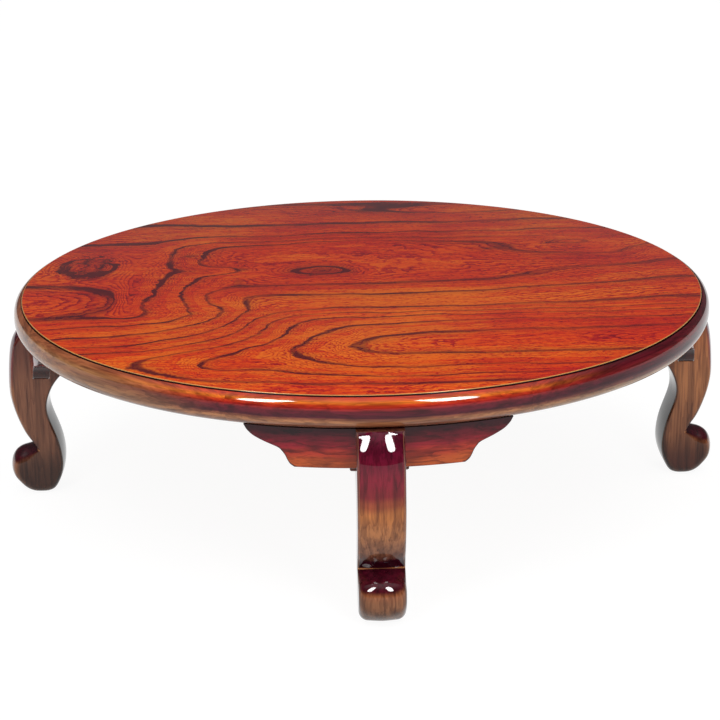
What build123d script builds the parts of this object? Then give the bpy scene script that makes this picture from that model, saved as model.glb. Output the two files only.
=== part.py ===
"""Round folding low table: a flush top in a bullnose rim, on four cabriole legs that fold inwards.

Each leg carries a curved apron and a corner block. It hangs from a steel hinge under the top and is
held open and shut by a leaf spring that bears on the flats of the hinge knuckle.
Millimetres, +Z up, origin on the floor below the middle of the top. The front leg points along -Y.
"""
import os
from math import cos, radians, sin

from build123d import *

os.makedirs("parts", exist_ok=True)

# ---------------------------------------------------------------- driving dimensions
TABLE_HEIGHT = 320.0
RIM_RADIUS = 525.0
TOP_THICK = 48.5
LEG_ANGLES = {"front": -90.0, "right": 0.0, "back": 90.0, "left": 180.0}

# clearances
GLUE_GAP = 0.1          # between glued curved faces
PILOT_GAP = 0.1         # round a screw or a rivet in its hole
STOP_GAP = 0.3          # between the leg's stop faces and the underside of the top
HINGE_GAP = 0.5         # beside the hinge lugs, and between the ears and the corner block
PIN_RUNNING_GAP = 0.05  # radial, pin in the knuckle
PIN_SEAT_GAP = 0.02     # radial, pin in the ears
SPRING_GAP = 0.1        # leaf spring above the knuckle's flat

# top
PANEL_THICK = 5.5
SHEET_THICK = 3.0
PANEL_ARRIS = 0.8
GROOVE_IN = 12.4        # panel edge, in from the rim's widest line
GROOVE_WIDTH = 0.8
GROOVE_DEPTH = 5.0
RIM_SEGMENTS = 8
RIM_WIDTH = 40.0
RIM_WIDEST_DROP = 23.0  # below the panel's face
CROWN_IN = 8.8          # rim's crown, in from its widest line
CROWN_DROP = 2.6
CROWN_LEAN = 36.0       # degrees above level, where the rim's shoulder rolls over its crown
BELLY_RUN = 27.0        # level half-axis of the quarter ellipse below the widest line
SHEET_LAP = 5.0         # back sheet under the rim's rebate
CORE_RING_WIDTH = 60.0
CORE_ARM_WIDTH = 90.0
CORE_BATTEN_WIDTH = 30.0
CORE_BATTEN_PITCH = 95.0
CORE_BATTENS_A_SIDE = 3

# apron
APRON_IN = 19.0         # outer face, in from the rim's widest line
APRON_THICK = 24.0
APRON_DEPTH = 55.5
APRON_FOOT_HALF = 112.0     # half of the straight lower edge
OGEE_TOE_RUN = 12.0         # the end's outline, out from the lower edge and up from it
OGEE_TOE_RISE = 17.0
OGEE_CUSP_RUN = 20.5
OGEE_CUSP_RISE = 26.0
OGEE_WAVE_RUN = 47.0
OGEE_WAVE_RISE = 37.0
OGEE_TOP_RUN = 65.0

# corner block
BLOCK_WIDTH = 78.0
BLOCK_DEPTH = 69.5      # below the top
BLOCK_CHAMFER = 2.0

# leg: reach is measured out from the rim's widest line, height up from the floor, drop down from the top
LEG_THICK = 64.0
LEG_EDGE = 5.0
HORN_REACH = -5.0
CALF_REACH = 12.5
CALF_DROP = 37.5
KNEE_REACH = 19.0
KNEE_DROP = 103.0
SHIN_REACH = 9.0
SHIN_SHARE = 0.6        # of the way down from the knee to the lip
LIP_REACH = -3.5
LIP_HEIGHT = 91.0
ANKLE_REACH = -19.0
ANKLE_HEIGHT = 73.0
WAIST_REACH = -39.5
WAIST_SHARE = 0.26      # of the way down from the calf's back to the heel
CALF_BACK_REACH = -52.0
CALF_BACK_DROP = 101.0
HEEL_REACH = -60.0
HEEL_HEIGHT = 52.0
HEEL_UNDER_REACH = -51.5
HEEL_UNDER_HEIGHT = 17.5
INSTEP_REACH = 8.0
INSTEP_HEIGHT = 63.0
TOE_REACH = 23.5
TOE_HEIGHT = 42.0
TOE_UNDER_REACH = 10.0
TOE_UNDER_HEIGHT = 19.5
SOLE_OUT_REACH = -11.0
SOLE_IN_REACH = -41.0
FOOT_EDGE = 13.0
PAD_THICK = 3.0
PAD_PROUD = 1.0
PAD_LENGTH = 24.0
PAD_WIDTH = 24.0

# hinge
BLOCK_INNER_REACH = -75.5   # corner block's inner face, from the rim's widest line
PIN_DROP = 12.0             # pin's axis below the top
PIN_RADIUS = 4.0
PIN_HEAD_RADIUS = 6.2
PIN_HEAD_THICK = 1.8
KNUCKLE_HALF = 7.0
KNUCKLE_ROUND = 3.7
CAM_WIDTH = 26.0
LUG_WIDTH = 5.5
BRACKET_THICK = 2.5
BRACKET_WIDTH = 60.0
BRACKET_HEIGHT = 57.5
BRACKET_CORNER = 6.0
BASE_THICK = 2.3
BASE_LENGTH = 87.0
BASE_INNER_WIDTH = 64.0
BASE_FLANGE = 8.3
EAR_RADIUS = 9.0
SPRING_THICK = 1.2
SPRING_WIDTH = 24.0
SPRING_SETBACK = 10.0       # from the base's inner end to the spring's
SPRING_SEAT = 18.0
SPRING_CRANK = 6.0
RIVET_RADIUS = 1.9
RIVET_HEAD_RADIUS = 3.2
RIVET_HEAD_THICK = 1.3
RIVET_SPREAD = 12.0

# screws
SCREW_RADIUS = 2.0
SCREW_HEAD_RADIUS = 4.0
SCREW_HEAD_THICK = 2.5
CROSS_LENGTH = 4.6
CROSS_WIDTH = 1.0
CROSS_DEPTH = 1.2
TIP_CHAMFER = 1.2
BASE_SCREW_LENGTH = 25.0
BASE_SCREW_SPREAD = 44.0
BASE_SCREW_ENDS = 11.0      # from the base's inner end to the first pair
BASE_SCREW_CLEAR = 19.0     # from the pin back to the second pair
BRACKET_SCREW_LENGTH = 25.0
BRACKET_SCREW_SPREAD = 40.0
BRACKET_SCREW_PITCH = 24.0
BRACKET_SCREW_RISE = 8.0    # lowest pair above the bracket's lower edge
BLOCK_SCREW_LENGTH = 42.0
BLOCK_SCREW_SPREAD = 69.0
BLOCK_SCREW_PITCH = 30.0
BLOCK_SCREW_RISE = 20.0
COUNTERBORE_DEPTH = 3.0
COUNTERBORE_GAP = 0.5

# ---------------------------------------------------------------- worked out from them
TOP_UNDER = TABLE_HEIGHT - TOP_THICK
PANEL_UNDER = TABLE_HEIGHT - PANEL_THICK
PANEL_RADIUS = RIM_RADIUS - GROOVE_IN
RIM_INNER = RIM_RADIUS - RIM_WIDTH
RIM_WIDEST_Z = TABLE_HEIGHT - RIM_WIDEST_DROP
BELLY_RISE = RIM_WIDEST_Z - TOP_UNDER
SHEET_TOP = TOP_UNDER + SHEET_THICK
SHEET_RADIUS = RIM_INNER + SHEET_LAP

APRON_OUTER = RIM_RADIUS - APRON_IN
APRON_INNER = APRON_OUTER - APRON_THICK
APRON_TOP = TOP_UNDER - STOP_GAP
APRON_BOTTOM = TOP_UNDER - APRON_DEPTH
APRON_HALF_LENGTH = APRON_FOOT_HALF + OGEE_TOP_RUN

BLOCK_INNER = RIM_RADIUS + BLOCK_INNER_REACH
BLOCK_BOTTOM = TOP_UNDER - BLOCK_DEPTH

BRACKET_FACE = BLOCK_INNER - BRACKET_THICK
PIN_REACH = BRACKET_FACE - KNUCKLE_HALF
PIN_Z = TOP_UNDER - PIN_DROP
KNUCKLE_TOP = PIN_Z + KNUCKLE_HALF
BRACKET_BOTTOM = KNUCKLE_TOP - BRACKET_HEIGHT
BASE_UNDER = TOP_UNDER - BASE_THICK
BASE_OUTER = PIN_REACH + EAR_RADIUS
BASE_INNER = BASE_OUTER - BASE_LENGTH
EAR_FACE = BASE_INNER_WIDTH / 2
EAR_BACK = EAR_FACE + BASE_THICK
LUG_FACE = EAR_FACE - HINGE_GAP
SPRING_UNDER = KNUCKLE_TOP + SPRING_GAP
SPRING_END = PIN_REACH + KNUCKLE_HALF
SPRING_START = BASE_INNER + SPRING_SETBACK
RIVET_REACH = SPRING_START + SPRING_SEAT / 2

KNEE_HEIGHT = TOP_UNDER - KNEE_DROP
SHIN_HEIGHT = KNEE_HEIGHT - SHIN_SHARE * (KNEE_HEIGHT - LIP_HEIGHT)
CALF_BACK_HEIGHT = TOP_UNDER - CALF_BACK_DROP
WAIST_HEIGHT = CALF_BACK_HEIGHT - WAIST_SHARE * (CALF_BACK_HEIGHT - HEEL_HEIGHT)
ANKLE = (RIM_RADIUS + ANKLE_REACH, ANKLE_HEIGHT)
HEEL = (RIM_RADIUS + HEEL_REACH, HEEL_HEIGHT)
PAD_REACH = RIM_RADIUS + (SOLE_OUT_REACH + SOLE_IN_REACH) / 2

PILOT_RADIUS = SCREW_RADIUS + PILOT_GAP
COUNTERBORE_FLOOR = BLOCK_INNER + COUNTERBORE_DEPTH


# ---------------------------------------------------------------- planes
def outward(angle):
    """Unit vector from the table's axis towards the leg at this angle."""
    return Vector(cos(radians(angle)), sin(radians(angle)), 0)


def side_plane(angle, aside=0.0):
    """Upright plane through the leg: x is the reach from the table's axis, y is the height."""
    out = outward(angle)
    square = out.cross(Vector(0, 0, 1))
    return Plane(origin=square * aside, x_dir=out, z_dir=square)


def level_plane(angle, height, facing=1):
    """Level plane at a height: x is the reach from the table's axis. Facing -1 looks down."""
    return Plane(origin=(0, 0, height), x_dir=outward(angle), z_dir=(0, 0, facing))


def face_plane(angle, reach, facing=1):
    """Upright plane square to the leg: x runs along the tangent, y is the height. Facing -1 looks in."""
    out = outward(angle)
    tangent = Vector(0, 0, 1).cross(out) * facing
    return Plane(origin=out * reach, x_dir=tangent, z_dir=out * facing)


# ---------------------------------------------------------------- places of the fasteners
def mirrored(reaches, spread):
    """Pairs of spots either side of the leg's middle, for a level plane."""
    return [(reach, side * spread / 2) for reach in reaches for side in (-1, 1)]


def crossed(heights, spread):
    """Pairs of spots either side of the leg's middle, for a face plane."""
    return [(side * spread / 2, height) for height in heights for side in (-1, 1)]


BASE_SCREW_REACHES = [BASE_INNER + BASE_SCREW_ENDS, PIN_REACH - BASE_SCREW_CLEAR]
BRACKET_SCREW_LOW = BRACKET_BOTTOM + BRACKET_SCREW_RISE
BLOCK_SCREW_LOW = BLOCK_BOTTOM + BLOCK_SCREW_RISE
BASE_SPOTS = mirrored(BASE_SCREW_REACHES, BASE_SCREW_SPREAD)
RIVET_SPOTS = mirrored([RIVET_REACH], RIVET_SPREAD)
BRACKET_SPOTS = crossed([BRACKET_SCREW_LOW, BRACKET_SCREW_LOW + BRACKET_SCREW_PITCH], BRACKET_SCREW_SPREAD)
BLOCK_SPOTS = crossed([BLOCK_SCREW_LOW, BLOCK_SCREW_LOW + BLOCK_SCREW_PITCH], BLOCK_SCREW_SPREAD)


def save(part, name):
    """Label a finished piece and write it."""
    part.label = name
    export_step(part, f"parts/{name}.step")


def screw_group(seat, spots, length):
    """Pan-head wood screws whose heads sit on a plane, shanks running back behind it."""
    with BuildPart() as screws:
        with BuildSketch(seat):
            with Locations(*spots):
                Circle(SCREW_HEAD_RADIUS)
        extrude(amount=SCREW_HEAD_THICK)
        along = Axis(seat.origin, seat.z_dir)
        fillet(screws.faces().group_by(along)[-1].edges(), SCREW_HEAD_THICK * 0.5)
        with BuildSketch(seat):
            with Locations(*spots):
                Circle(SCREW_RADIUS)
        extrude(amount=-length)
        chamfer(screws.faces().group_by(along)[0].edges(), TIP_CHAMFER)
        with BuildSketch(seat.offset(SCREW_HEAD_THICK)):
            with Locations(*spots):
                Rectangle(CROSS_LENGTH, CROSS_WIDTH)
                Rectangle(CROSS_WIDTH, CROSS_LENGTH)
        extrude(amount=-CROSS_DEPTH, mode=Mode.SUBTRACT)
    return screws.part


# ---------------------------------------------------------------- top
with BuildPart() as top_panel:
    with BuildSketch(Plane.XY.offset(PANEL_UNDER)):
        Circle(PANEL_RADIUS)
    extrude(amount=PANEL_THICK)
    fillet(top_panel.faces().sort_by(Axis.Z)[-1].edges(), PANEL_ARRIS)
save(top_panel.part, "top_panel")

with BuildPart() as core_frame:
    with BuildSketch(Plane.XY.offset(SHEET_TOP)):
        Circle(RIM_INNER - GLUE_GAP)
        Circle(RIM_INNER - CORE_RING_WIDTH, mode=Mode.SUBTRACT)
    extrude(amount=PANEL_UNDER - SHEET_TOP)
    with BuildSketch(Plane.XY.offset(SHEET_TOP)):
        Rectangle(2 * RIM_INNER, CORE_ARM_WIDTH)
        Rectangle(CORE_ARM_WIDTH, 2 * RIM_INNER)
        for step in range(1, CORE_BATTENS_A_SIDE + 1):
            with Locations((0, step * CORE_BATTEN_PITCH), (0, -step * CORE_BATTEN_PITCH)):
                Rectangle(2 * RIM_INNER, CORE_BATTEN_WIDTH)
        Circle(RIM_INNER - GLUE_GAP, mode=Mode.INTERSECT)
    extrude(amount=PANEL_UNDER - SHEET_TOP)
    for angle in LEG_ANGLES.values():
        with BuildSketch(level_plane(angle, SHEET_TOP)):
            with Locations(*BASE_SPOTS):
                Circle(PILOT_RADIUS)
        extrude(amount=BASE_SCREW_LENGTH, mode=Mode.SUBTRACT)
save(core_frame.part, "core_frame")

with BuildPart() as back_sheet:
    with BuildSketch(Plane.XY.offset(TOP_UNDER)):
        Circle(SHEET_RADIUS - GLUE_GAP)
    extrude(amount=SHEET_THICK)
    for angle in LEG_ANGLES.values():
        with BuildSketch(level_plane(angle, TOP_UNDER)):
            with Locations(*BASE_SPOTS):
                Circle(PILOT_RADIUS)
        extrude(amount=SHEET_THICK, mode=Mode.SUBTRACT)
save(back_sheet.part, "back_sheet")

segment_angle = 360.0 / RIM_SEGMENTS
crown = (RIM_RADIUS - CROWN_IN, TABLE_HEIGHT - CROWN_DROP)
lean = (-cos(radians(CROWN_LEAN)), sin(radians(CROWN_LEAN)))
groove_wall = PANEL_RADIUS + GROOVE_WIDTH
groove_floor = max(TABLE_HEIGHT - GROOVE_DEPTH, PANEL_UNDER)
for number in range(RIM_SEGMENTS):
    with BuildPart() as rim_segment:
        with BuildSketch(side_plane(segment_angle * (number - 0.5))) as section:
            with BuildLine():
                belly = EllipticalCenterArc(
                    (RIM_RADIUS - BELLY_RUN, RIM_WIDEST_Z), BELLY_RUN, BELLY_RISE, start_angle=-90, arc_size=90
                )
                shoulder = Spline(belly @ 1, crown, tangents=[(0, 1), lean])
                roll = Spline(shoulder @ 1, (groove_wall, groove_floor), tangents=[shoulder % 1, (0, -1)])
                Polyline(
                    roll @ 1,
                    (groove_wall, PANEL_UNDER),
                    (RIM_INNER, PANEL_UNDER),
                    (RIM_INNER, SHEET_TOP),
                    (SHEET_RADIUS, SHEET_TOP),
                    (SHEET_RADIUS, TOP_UNDER),
                    belly @ 0,
                )
            make_face()
        revolve(axis=Axis.Z, revolution_arc=segment_angle)
    save(rim_segment.part, f"rim_segment_{number + 1}")

# ---------------------------------------------------------------- legs and their hinges
for side, angle in LEG_ANGLES.items():
    upright = side_plane(angle)

    # hinge base: a channel under the top with two ears for the pin
    with BuildPart() as hinge_base:
        with BuildSketch(level_plane(angle, TOP_UNDER, facing=-1)):
            with Locations(((BASE_INNER + BASE_OUTER) / 2, 0)):
                Rectangle(BASE_LENGTH, 2 * EAR_BACK)
        extrude(amount=BASE_THICK)
        for hand in (-1, 1):
            with BuildSketch(side_plane(angle, hand * EAR_FACE)):
                with Locations((BASE_INNER, TOP_UNDER)):
                    Rectangle(BASE_LENGTH, BASE_FLANGE, align=(Align.MIN, Align.MAX))
                with Locations((PIN_REACH, PIN_Z)):
                    Circle(EAR_RADIUS)
                    Rectangle(2 * EAR_RADIUS, PIN_DROP, align=(Align.CENTER, Align.MIN))
                with Locations((PIN_REACH, PIN_Z)):
                    Circle(PIN_RADIUS + PIN_SEAT_GAP, mode=Mode.SUBTRACT)
            extrude(amount=hand * BASE_THICK)
        with BuildSketch(level_plane(angle, TOP_UNDER, facing=-1)):
            with Locations(*BASE_SPOTS):
                Circle(PILOT_RADIUS)
            with Locations(*RIVET_SPOTS):
                Circle(RIVET_RADIUS + PILOT_GAP)
        extrude(amount=BASE_THICK, mode=Mode.SUBTRACT)
    save(hinge_base.part, f"hinge_base_{side}")

    save(
        screw_group(level_plane(angle, BASE_UNDER, facing=-1), BASE_SPOTS, BASE_SCREW_LENGTH),
        f"base_screws_{side}",
    )

    # click spring: a cranked leaf from its seat under the base to the knuckle's flat
    with BuildPart() as click_spring:
        with BuildSketch(upright):
            with BuildLine():
                Polyline(
                    (SPRING_START, BASE_UNDER),
                    (SPRING_START + SPRING_SEAT, BASE_UNDER),
                    (SPRING_START + SPRING_SEAT + SPRING_CRANK, SPRING_UNDER + SPRING_THICK),
                    (SPRING_END, SPRING_UNDER + SPRING_THICK),
                    (SPRING_END, SPRING_UNDER),
                    (SPRING_START + SPRING_SEAT + SPRING_CRANK, SPRING_UNDER),
                    (SPRING_START + SPRING_SEAT, BASE_UNDER - SPRING_THICK),
                    (SPRING_START, BASE_UNDER - SPRING_THICK),
                    close=True,
                )
            make_face()
        extrude(amount=SPRING_WIDTH / 2, both=True)
        with BuildSketch(level_plane(angle, BASE_UNDER, facing=-1)):
            with Locations(*RIVET_SPOTS):
                Circle(RIVET_RADIUS + PILOT_GAP)
        extrude(amount=SPRING_THICK, mode=Mode.SUBTRACT)
    save(click_spring.part, f"click_spring_{side}")

    with BuildPart() as spring_rivets:
        with BuildSketch(level_plane(angle, BASE_UNDER - SPRING_THICK, facing=-1)):
            with Locations(*RIVET_SPOTS):
                Circle(RIVET_HEAD_RADIUS)
        extrude(amount=RIVET_HEAD_THICK)
        fillet(spring_rivets.faces().group_by(Axis.Z)[0].edges(), RIVET_HEAD_THICK * 0.7)
        with BuildSketch(level_plane(angle, BASE_UNDER - SPRING_THICK)):
            with Locations(*RIVET_SPOTS):
                Circle(RIVET_RADIUS)
        extrude(amount=SPRING_THICK + BASE_THICK - PILOT_GAP)
    save(spring_rivets.part, f"spring_rivets_{side}")

    # pin: runs in the knuckle, peened over outside both ears
    with BuildPart() as hinge_pin:
        with BuildSketch(upright):
            with Locations((PIN_REACH, PIN_Z)):
                Circle(PIN_RADIUS)
        extrude(amount=EAR_BACK, both=True)
        for hand in (-1, 1):
            with BuildSketch(side_plane(angle, hand * EAR_BACK)):
                with Locations((PIN_REACH, PIN_Z)):
                    Circle(PIN_HEAD_RADIUS)
            extrude(amount=hand * PIN_HEAD_THICK)
        across = Axis((0, 0, 0), upright.z_dir)
        ends = hinge_pin.faces().group_by(across)
        fillet(ends[0].edges() + ends[-1].edges(), PIN_HEAD_THICK * 0.6)
    save(hinge_pin.part, f"hinge_pin_{side}")

    # leg bracket: plate on the corner block, cam in the middle and a lug beside each ear
    with BuildPart() as leg_bracket:
        with BuildSketch(face_plane(angle, BRACKET_FACE)):
            with Locations((0, KNUCKLE_TOP)):
                Rectangle(BRACKET_WIDTH, BRACKET_HEIGHT, align=(Align.CENTER, Align.MAX))
        extrude(amount=BRACKET_THICK)
        fillet(leg_bracket.edges().filter_by(Axis((0, 0, 0), outward(angle))).group_by(Axis.Z)[0], BRACKET_CORNER)
        for start, width in ((-CAM_WIDTH / 2, CAM_WIDTH), (-LUG_FACE, LUG_WIDTH), (LUG_FACE - LUG_WIDTH, LUG_WIDTH)):
            with BuildSketch(side_plane(angle, start)):
                with Locations((PIN_REACH, PIN_Z)):
                    knuckle = Rectangle(2 * KNUCKLE_HALF, 2 * KNUCKLE_HALF)
                fillet(knuckle.vertices().group_by(Axis.X)[0], KNUCKLE_ROUND)
            extrude(amount=width)
        with BuildSketch(upright):
            with Locations((PIN_REACH, PIN_Z)):
                Circle(PIN_RADIUS + PIN_RUNNING_GAP)
        extrude(amount=EAR_FACE, both=True, mode=Mode.SUBTRACT)
        with BuildSketch(face_plane(angle, BRACKET_FACE)):
            with Locations(*BRACKET_SPOTS):
                Circle(PILOT_RADIUS)
        extrude(amount=BRACKET_THICK, mode=Mode.SUBTRACT)
    save(leg_bracket.part, f"leg_bracket_{side}")

    save(
        screw_group(face_plane(angle, BRACKET_FACE, facing=-1), BRACKET_SPOTS, BRACKET_SCREW_LENGTH),
        f"bracket_screws_{side}",
    )

    # corner block: sits on the leg's shoulder behind the apron
    with BuildPart() as corner_block:
        with BuildSketch(level_plane(angle, BLOCK_BOTTOM)):
            with Locations((BLOCK_INNER, 0)):
                Rectangle(APRON_OUTER - BLOCK_INNER, BLOCK_WIDTH, align=(Align.MIN, Align.CENTER))
            Circle(APRON_INNER - GLUE_GAP, mode=Mode.INTERSECT)
        extrude(amount=APRON_TOP - BLOCK_BOTTOM)
        chamfer(corner_block.faces().sort_by(Axis.Z)[0].edges(), BLOCK_CHAMFER)
        with BuildSketch(face_plane(angle, BLOCK_INNER)):
            with Locations(*BRACKET_SPOTS):
                Circle(PILOT_RADIUS)
        extrude(amount=BRACKET_SCREW_LENGTH, mode=Mode.SUBTRACT)
        with BuildSketch(face_plane(angle, BLOCK_INNER)):
            with Locations(*BLOCK_SPOTS):
                Circle(PILOT_RADIUS)
        extrude(amount=APRON_INNER - BLOCK_INNER, mode=Mode.SUBTRACT)
        with BuildSketch(face_plane(angle, BLOCK_INNER)):
            with Locations(*BLOCK_SPOTS):
                Circle(SCREW_HEAD_RADIUS + COUNTERBORE_GAP)
        extrude(amount=COUNTERBORE_DEPTH, mode=Mode.SUBTRACT)
    save(corner_block.part, f"corner_block_{side}")

    save(
        screw_group(face_plane(angle, COUNTERBORE_FLOOR, facing=-1), BLOCK_SPOTS, BLOCK_SCREW_LENGTH),
        f"block_screws_{side}",
    )

    # apron: a board sawn to the curve of the rim, with an ogee at each end
    with BuildPart() as apron:
        with BuildSketch(level_plane(angle, APRON_BOTTOM)):
            Circle(APRON_OUTER)
            Circle(APRON_INNER, mode=Mode.SUBTRACT)
        extrude(amount=APRON_TOP - APRON_BOTTOM)
        with BuildSketch(face_plane(angle, 0)):
            with BuildLine():
                lip = Spline(
                    (APRON_FOOT_HALF, APRON_BOTTOM),
                    (APRON_FOOT_HALF + OGEE_TOE_RUN, APRON_BOTTOM + OGEE_TOE_RISE),
                    (APRON_FOOT_HALF + OGEE_CUSP_RUN, APRON_BOTTOM + OGEE_CUSP_RISE),
                    tangents=[(1, 0), (1, 0.55)],
                )
                ogee = Spline(
                    lip @ 1,
                    (APRON_FOOT_HALF + OGEE_WAVE_RUN, APRON_BOTTOM + OGEE_WAVE_RISE),
                    (APRON_HALF_LENGTH, APRON_TOP),
                    tangents=[(1, 0.45), (0.3, 1)],
                )
                Line(ogee @ 1, (0, APRON_TOP))
                Line((0, APRON_BOTTOM), lip @ 0)
                mirror(about=Plane.YZ)
            make_face()
        extrude(amount=APRON_OUTER, mode=Mode.INTERSECT)
        with BuildSketch(face_plane(angle, COUNTERBORE_FLOOR)):
            with Locations(*BLOCK_SPOTS):
                Circle(PILOT_RADIUS)
        extrude(amount=BLOCK_SCREW_LENGTH, mode=Mode.SUBTRACT)
    save(apron.part, f"apron_{side}")

    # foot: the rounder end of the leg, from its ankle and heel down to the sole
    with BuildPart() as foot:
        with BuildSketch(upright):
            with BuildLine():
                instep = Spline(
                    ANKLE,
                    (RIM_RADIUS + INSTEP_REACH, INSTEP_HEIGHT),
                    (RIM_RADIUS + TOE_REACH, TOE_HEIGHT),
                    tangents=[(1, -0.25), (0, -1)],
                )
                toe = Spline(
                    instep @ 1,
                    (RIM_RADIUS + TOE_UNDER_REACH, TOE_UNDER_HEIGHT),
                    (RIM_RADIUS + SOLE_OUT_REACH, PAD_PROUD),
                    tangents=[(0, -1), (-1, -0.5)],
                )
                sole = Line(toe @ 1, (RIM_RADIUS + SOLE_IN_REACH, PAD_PROUD))
                heel = Spline(
                    sole @ 1,
                    (RIM_RADIUS + HEEL_UNDER_REACH, HEEL_UNDER_HEIGHT),
                    HEEL,
                    tangents=[(-1, 0.5), (0, 1)],
                )
                Line(heel @ 1, ANKLE)
            make_face()
        extrude(amount=LEG_THICK / 2, both=True)
        level_edges = foot.edges().filter_by(Axis((0, 0, 0), outward(angle)))
        fillet(foot.edges().filter_by(GeomType.BSPLINE) + level_edges, FOOT_EDGE)

    # leg: a shin sawn to its outline, the foot below it, cut at the top for the apron and the block
    with BuildPart() as leg:
        with BuildSketch(upright):
            with BuildLine():
                calf = Spline(
                    (RIM_RADIUS + HORN_REACH, APRON_TOP),
                    (RIM_RADIUS + CALF_REACH, TOP_UNDER - CALF_DROP),
                    (RIM_RADIUS + KNEE_REACH, KNEE_HEIGHT),
                    tangents=[(0.5, -1), (0, -1)],
                )
                shin = Spline(
                    calf @ 1,
                    (RIM_RADIUS + SHIN_REACH, SHIN_HEIGHT),
                    (RIM_RADIUS + LIP_REACH, LIP_HEIGHT),
                    ANKLE,
                    tangents=[(0, -1), (-1, -0.9)],
                )
                Line(ANKLE, HEEL)
                back = Spline(
                    HEEL,
                    (RIM_RADIUS + WAIST_REACH, WAIST_HEIGHT),
                    (RIM_RADIUS + CALF_BACK_REACH, CALF_BACK_HEIGHT),
                    (BLOCK_INNER, BLOCK_BOTTOM),
                    tangents=[(0, 1), (-1, 0.95)],
                )
                Polyline(back @ 1, (BLOCK_INNER, APRON_TOP), calf @ 0)
            make_face()
        extrude(amount=LEG_THICK / 2, both=True)
        fillet(leg.edges().filter_by(GeomType.BSPLINE), LEG_EDGE)
        add(foot.part)
        with BuildSketch(level_plane(angle, BLOCK_BOTTOM)):
            Circle(APRON_INNER)
        extrude(amount=BLOCK_DEPTH, mode=Mode.SUBTRACT)
        with BuildSketch(level_plane(angle, APRON_BOTTOM)):
            Circle(APRON_OUTER + GLUE_GAP)
        extrude(amount=APRON_DEPTH, mode=Mode.SUBTRACT)
        with BuildSketch(level_plane(angle, PAD_PROUD)):
            with Locations((PAD_REACH, 0)):
                Rectangle(PAD_LENGTH + 2 * GLUE_GAP, PAD_WIDTH + 2 * GLUE_GAP)
        extrude(amount=PAD_THICK - PAD_PROUD, mode=Mode.SUBTRACT)
    save(leg.part, f"leg_{side}")

    with BuildPart() as foot_pad:
        with BuildSketch(level_plane(angle, 0)):
            with Locations((PAD_REACH, 0)):
                Rectangle(PAD_LENGTH, PAD_WIDTH)
        extrude(amount=PAD_THICK)
    save(foot_pad.part, f"foot_pad_{side}")
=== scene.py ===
"""Looks of a round folding low table with a lacquered keyaki top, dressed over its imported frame.

Metres, +Z up, origin on the floor below the middle of the top, the front leg towards -Y.
"""

import logging
import math
from collections.abc import Sequence
from dataclasses import dataclass
from enum import Enum
from functools import reduce

import bmesh
import bpy
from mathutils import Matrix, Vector


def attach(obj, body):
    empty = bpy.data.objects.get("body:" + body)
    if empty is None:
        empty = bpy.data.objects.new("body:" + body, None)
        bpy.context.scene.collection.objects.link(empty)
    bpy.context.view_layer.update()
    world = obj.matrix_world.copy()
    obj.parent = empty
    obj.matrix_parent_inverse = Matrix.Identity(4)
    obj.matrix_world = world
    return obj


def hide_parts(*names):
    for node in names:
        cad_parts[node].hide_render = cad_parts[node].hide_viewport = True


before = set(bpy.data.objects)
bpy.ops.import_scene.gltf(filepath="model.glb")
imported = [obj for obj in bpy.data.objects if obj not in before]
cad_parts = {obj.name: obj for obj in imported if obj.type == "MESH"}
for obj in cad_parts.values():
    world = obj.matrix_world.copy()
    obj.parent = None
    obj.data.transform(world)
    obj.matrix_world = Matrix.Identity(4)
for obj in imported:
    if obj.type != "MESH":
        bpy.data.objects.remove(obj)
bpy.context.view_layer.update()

log = logging.getLogger("low_table")

Piece = bpy.types.Object
Material = bpy.types.Material
Socket = bpy.types.NodeSocket
Value = float | tuple | Socket
Colour = tuple[float, float, float, float]
Shades = tuple[tuple[float, Colour], ...]
Point = tuple[float, float]

PICTURE_SIDE = 720
SENSOR_WIDTH = 36.0

# values written on the meshes' points, which the finishes read
ACROSS = "across"
# share of painted highlight along the legs' edges and the notch's lip
EDGE_GLINT = "painted_glint"
# marks the aprons' ogee ends, coloured near black as painted shade
END_SHADE = "end_shade"


class Side(Enum):
    """The four legs, each with the angle that it stands at, in degrees from +X."""

    FRONT = -90.0
    RIGHT = 0.0
    BACK = 90.0
    LEFT = 180.0

    @property
    def word(self) -> str:
        """The side's name as the frame's nodes spell it."""
        return self.name.lower()

    @property
    def body(self) -> str:
        """The body that folds on this side."""
        return f"{self.word}_leg"

    @property
    def outward(self) -> Vector:
        """Unit vector from the table's axis to the leg."""
        turn = math.radians(self.value)
        return Vector((math.cos(turn), math.sin(turn), 0.0))

    @property
    def tangent(self) -> Vector:
        """Unit vector along the rim at the leg."""
        turn = math.radians(self.value)
        return Vector((-math.sin(turn), math.cos(turn), 0.0))

    def place(self, reach: float, height: float, aside: float) -> Vector:
        """A point given by its reach from the axis, its height and its distance aside."""
        return self.outward * reach + self.tangent * aside + Vector((0.0, 0.0, height))


class Grain(Enum):
    """The way that the wood's fibres run."""

    ALONG_X = 0
    ALONG_Y = 1
    UPRIGHT = 2

    def factors(self, across: float, along: float) -> tuple[float, float, float]:
        """Factors for x, y and z that draw a pattern out along the fibres."""
        return tuple(along if axis == self.value else across for axis in range(3))


def tone(red: float, green: float, blue: float) -> Colour:
    """A colour given as it looks on a screen, 0 to 255, as a linear colour."""

    def linear(part: float) -> float:
        """One channel of it."""
        share = part / 255.0
        return share / 12.92 if share <= 0.04045 else ((share + 0.055) / 1.055) ** 2.4

    return linear(red), linear(green), linear(blue), 1.0


def shades(*stops: tuple[float, float, float, float]) -> Shades:
    """Stops of a ramp, each a share from 0 to 1 and a colour as it looks on a screen."""
    return tuple((share, tone(red, green, blue)) for share, red, green, blue in stops)


def grey(level: float) -> Colour:
    """A linear level without colour."""
    return level, level, level, 1.0


def greys(*stops: tuple[float, float]) -> Shades:
    """Stops of a ramp without colour, each a share from 0 to 1 and a linear level."""
    return tuple((share, grey(level)) for share, level in stops)


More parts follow.
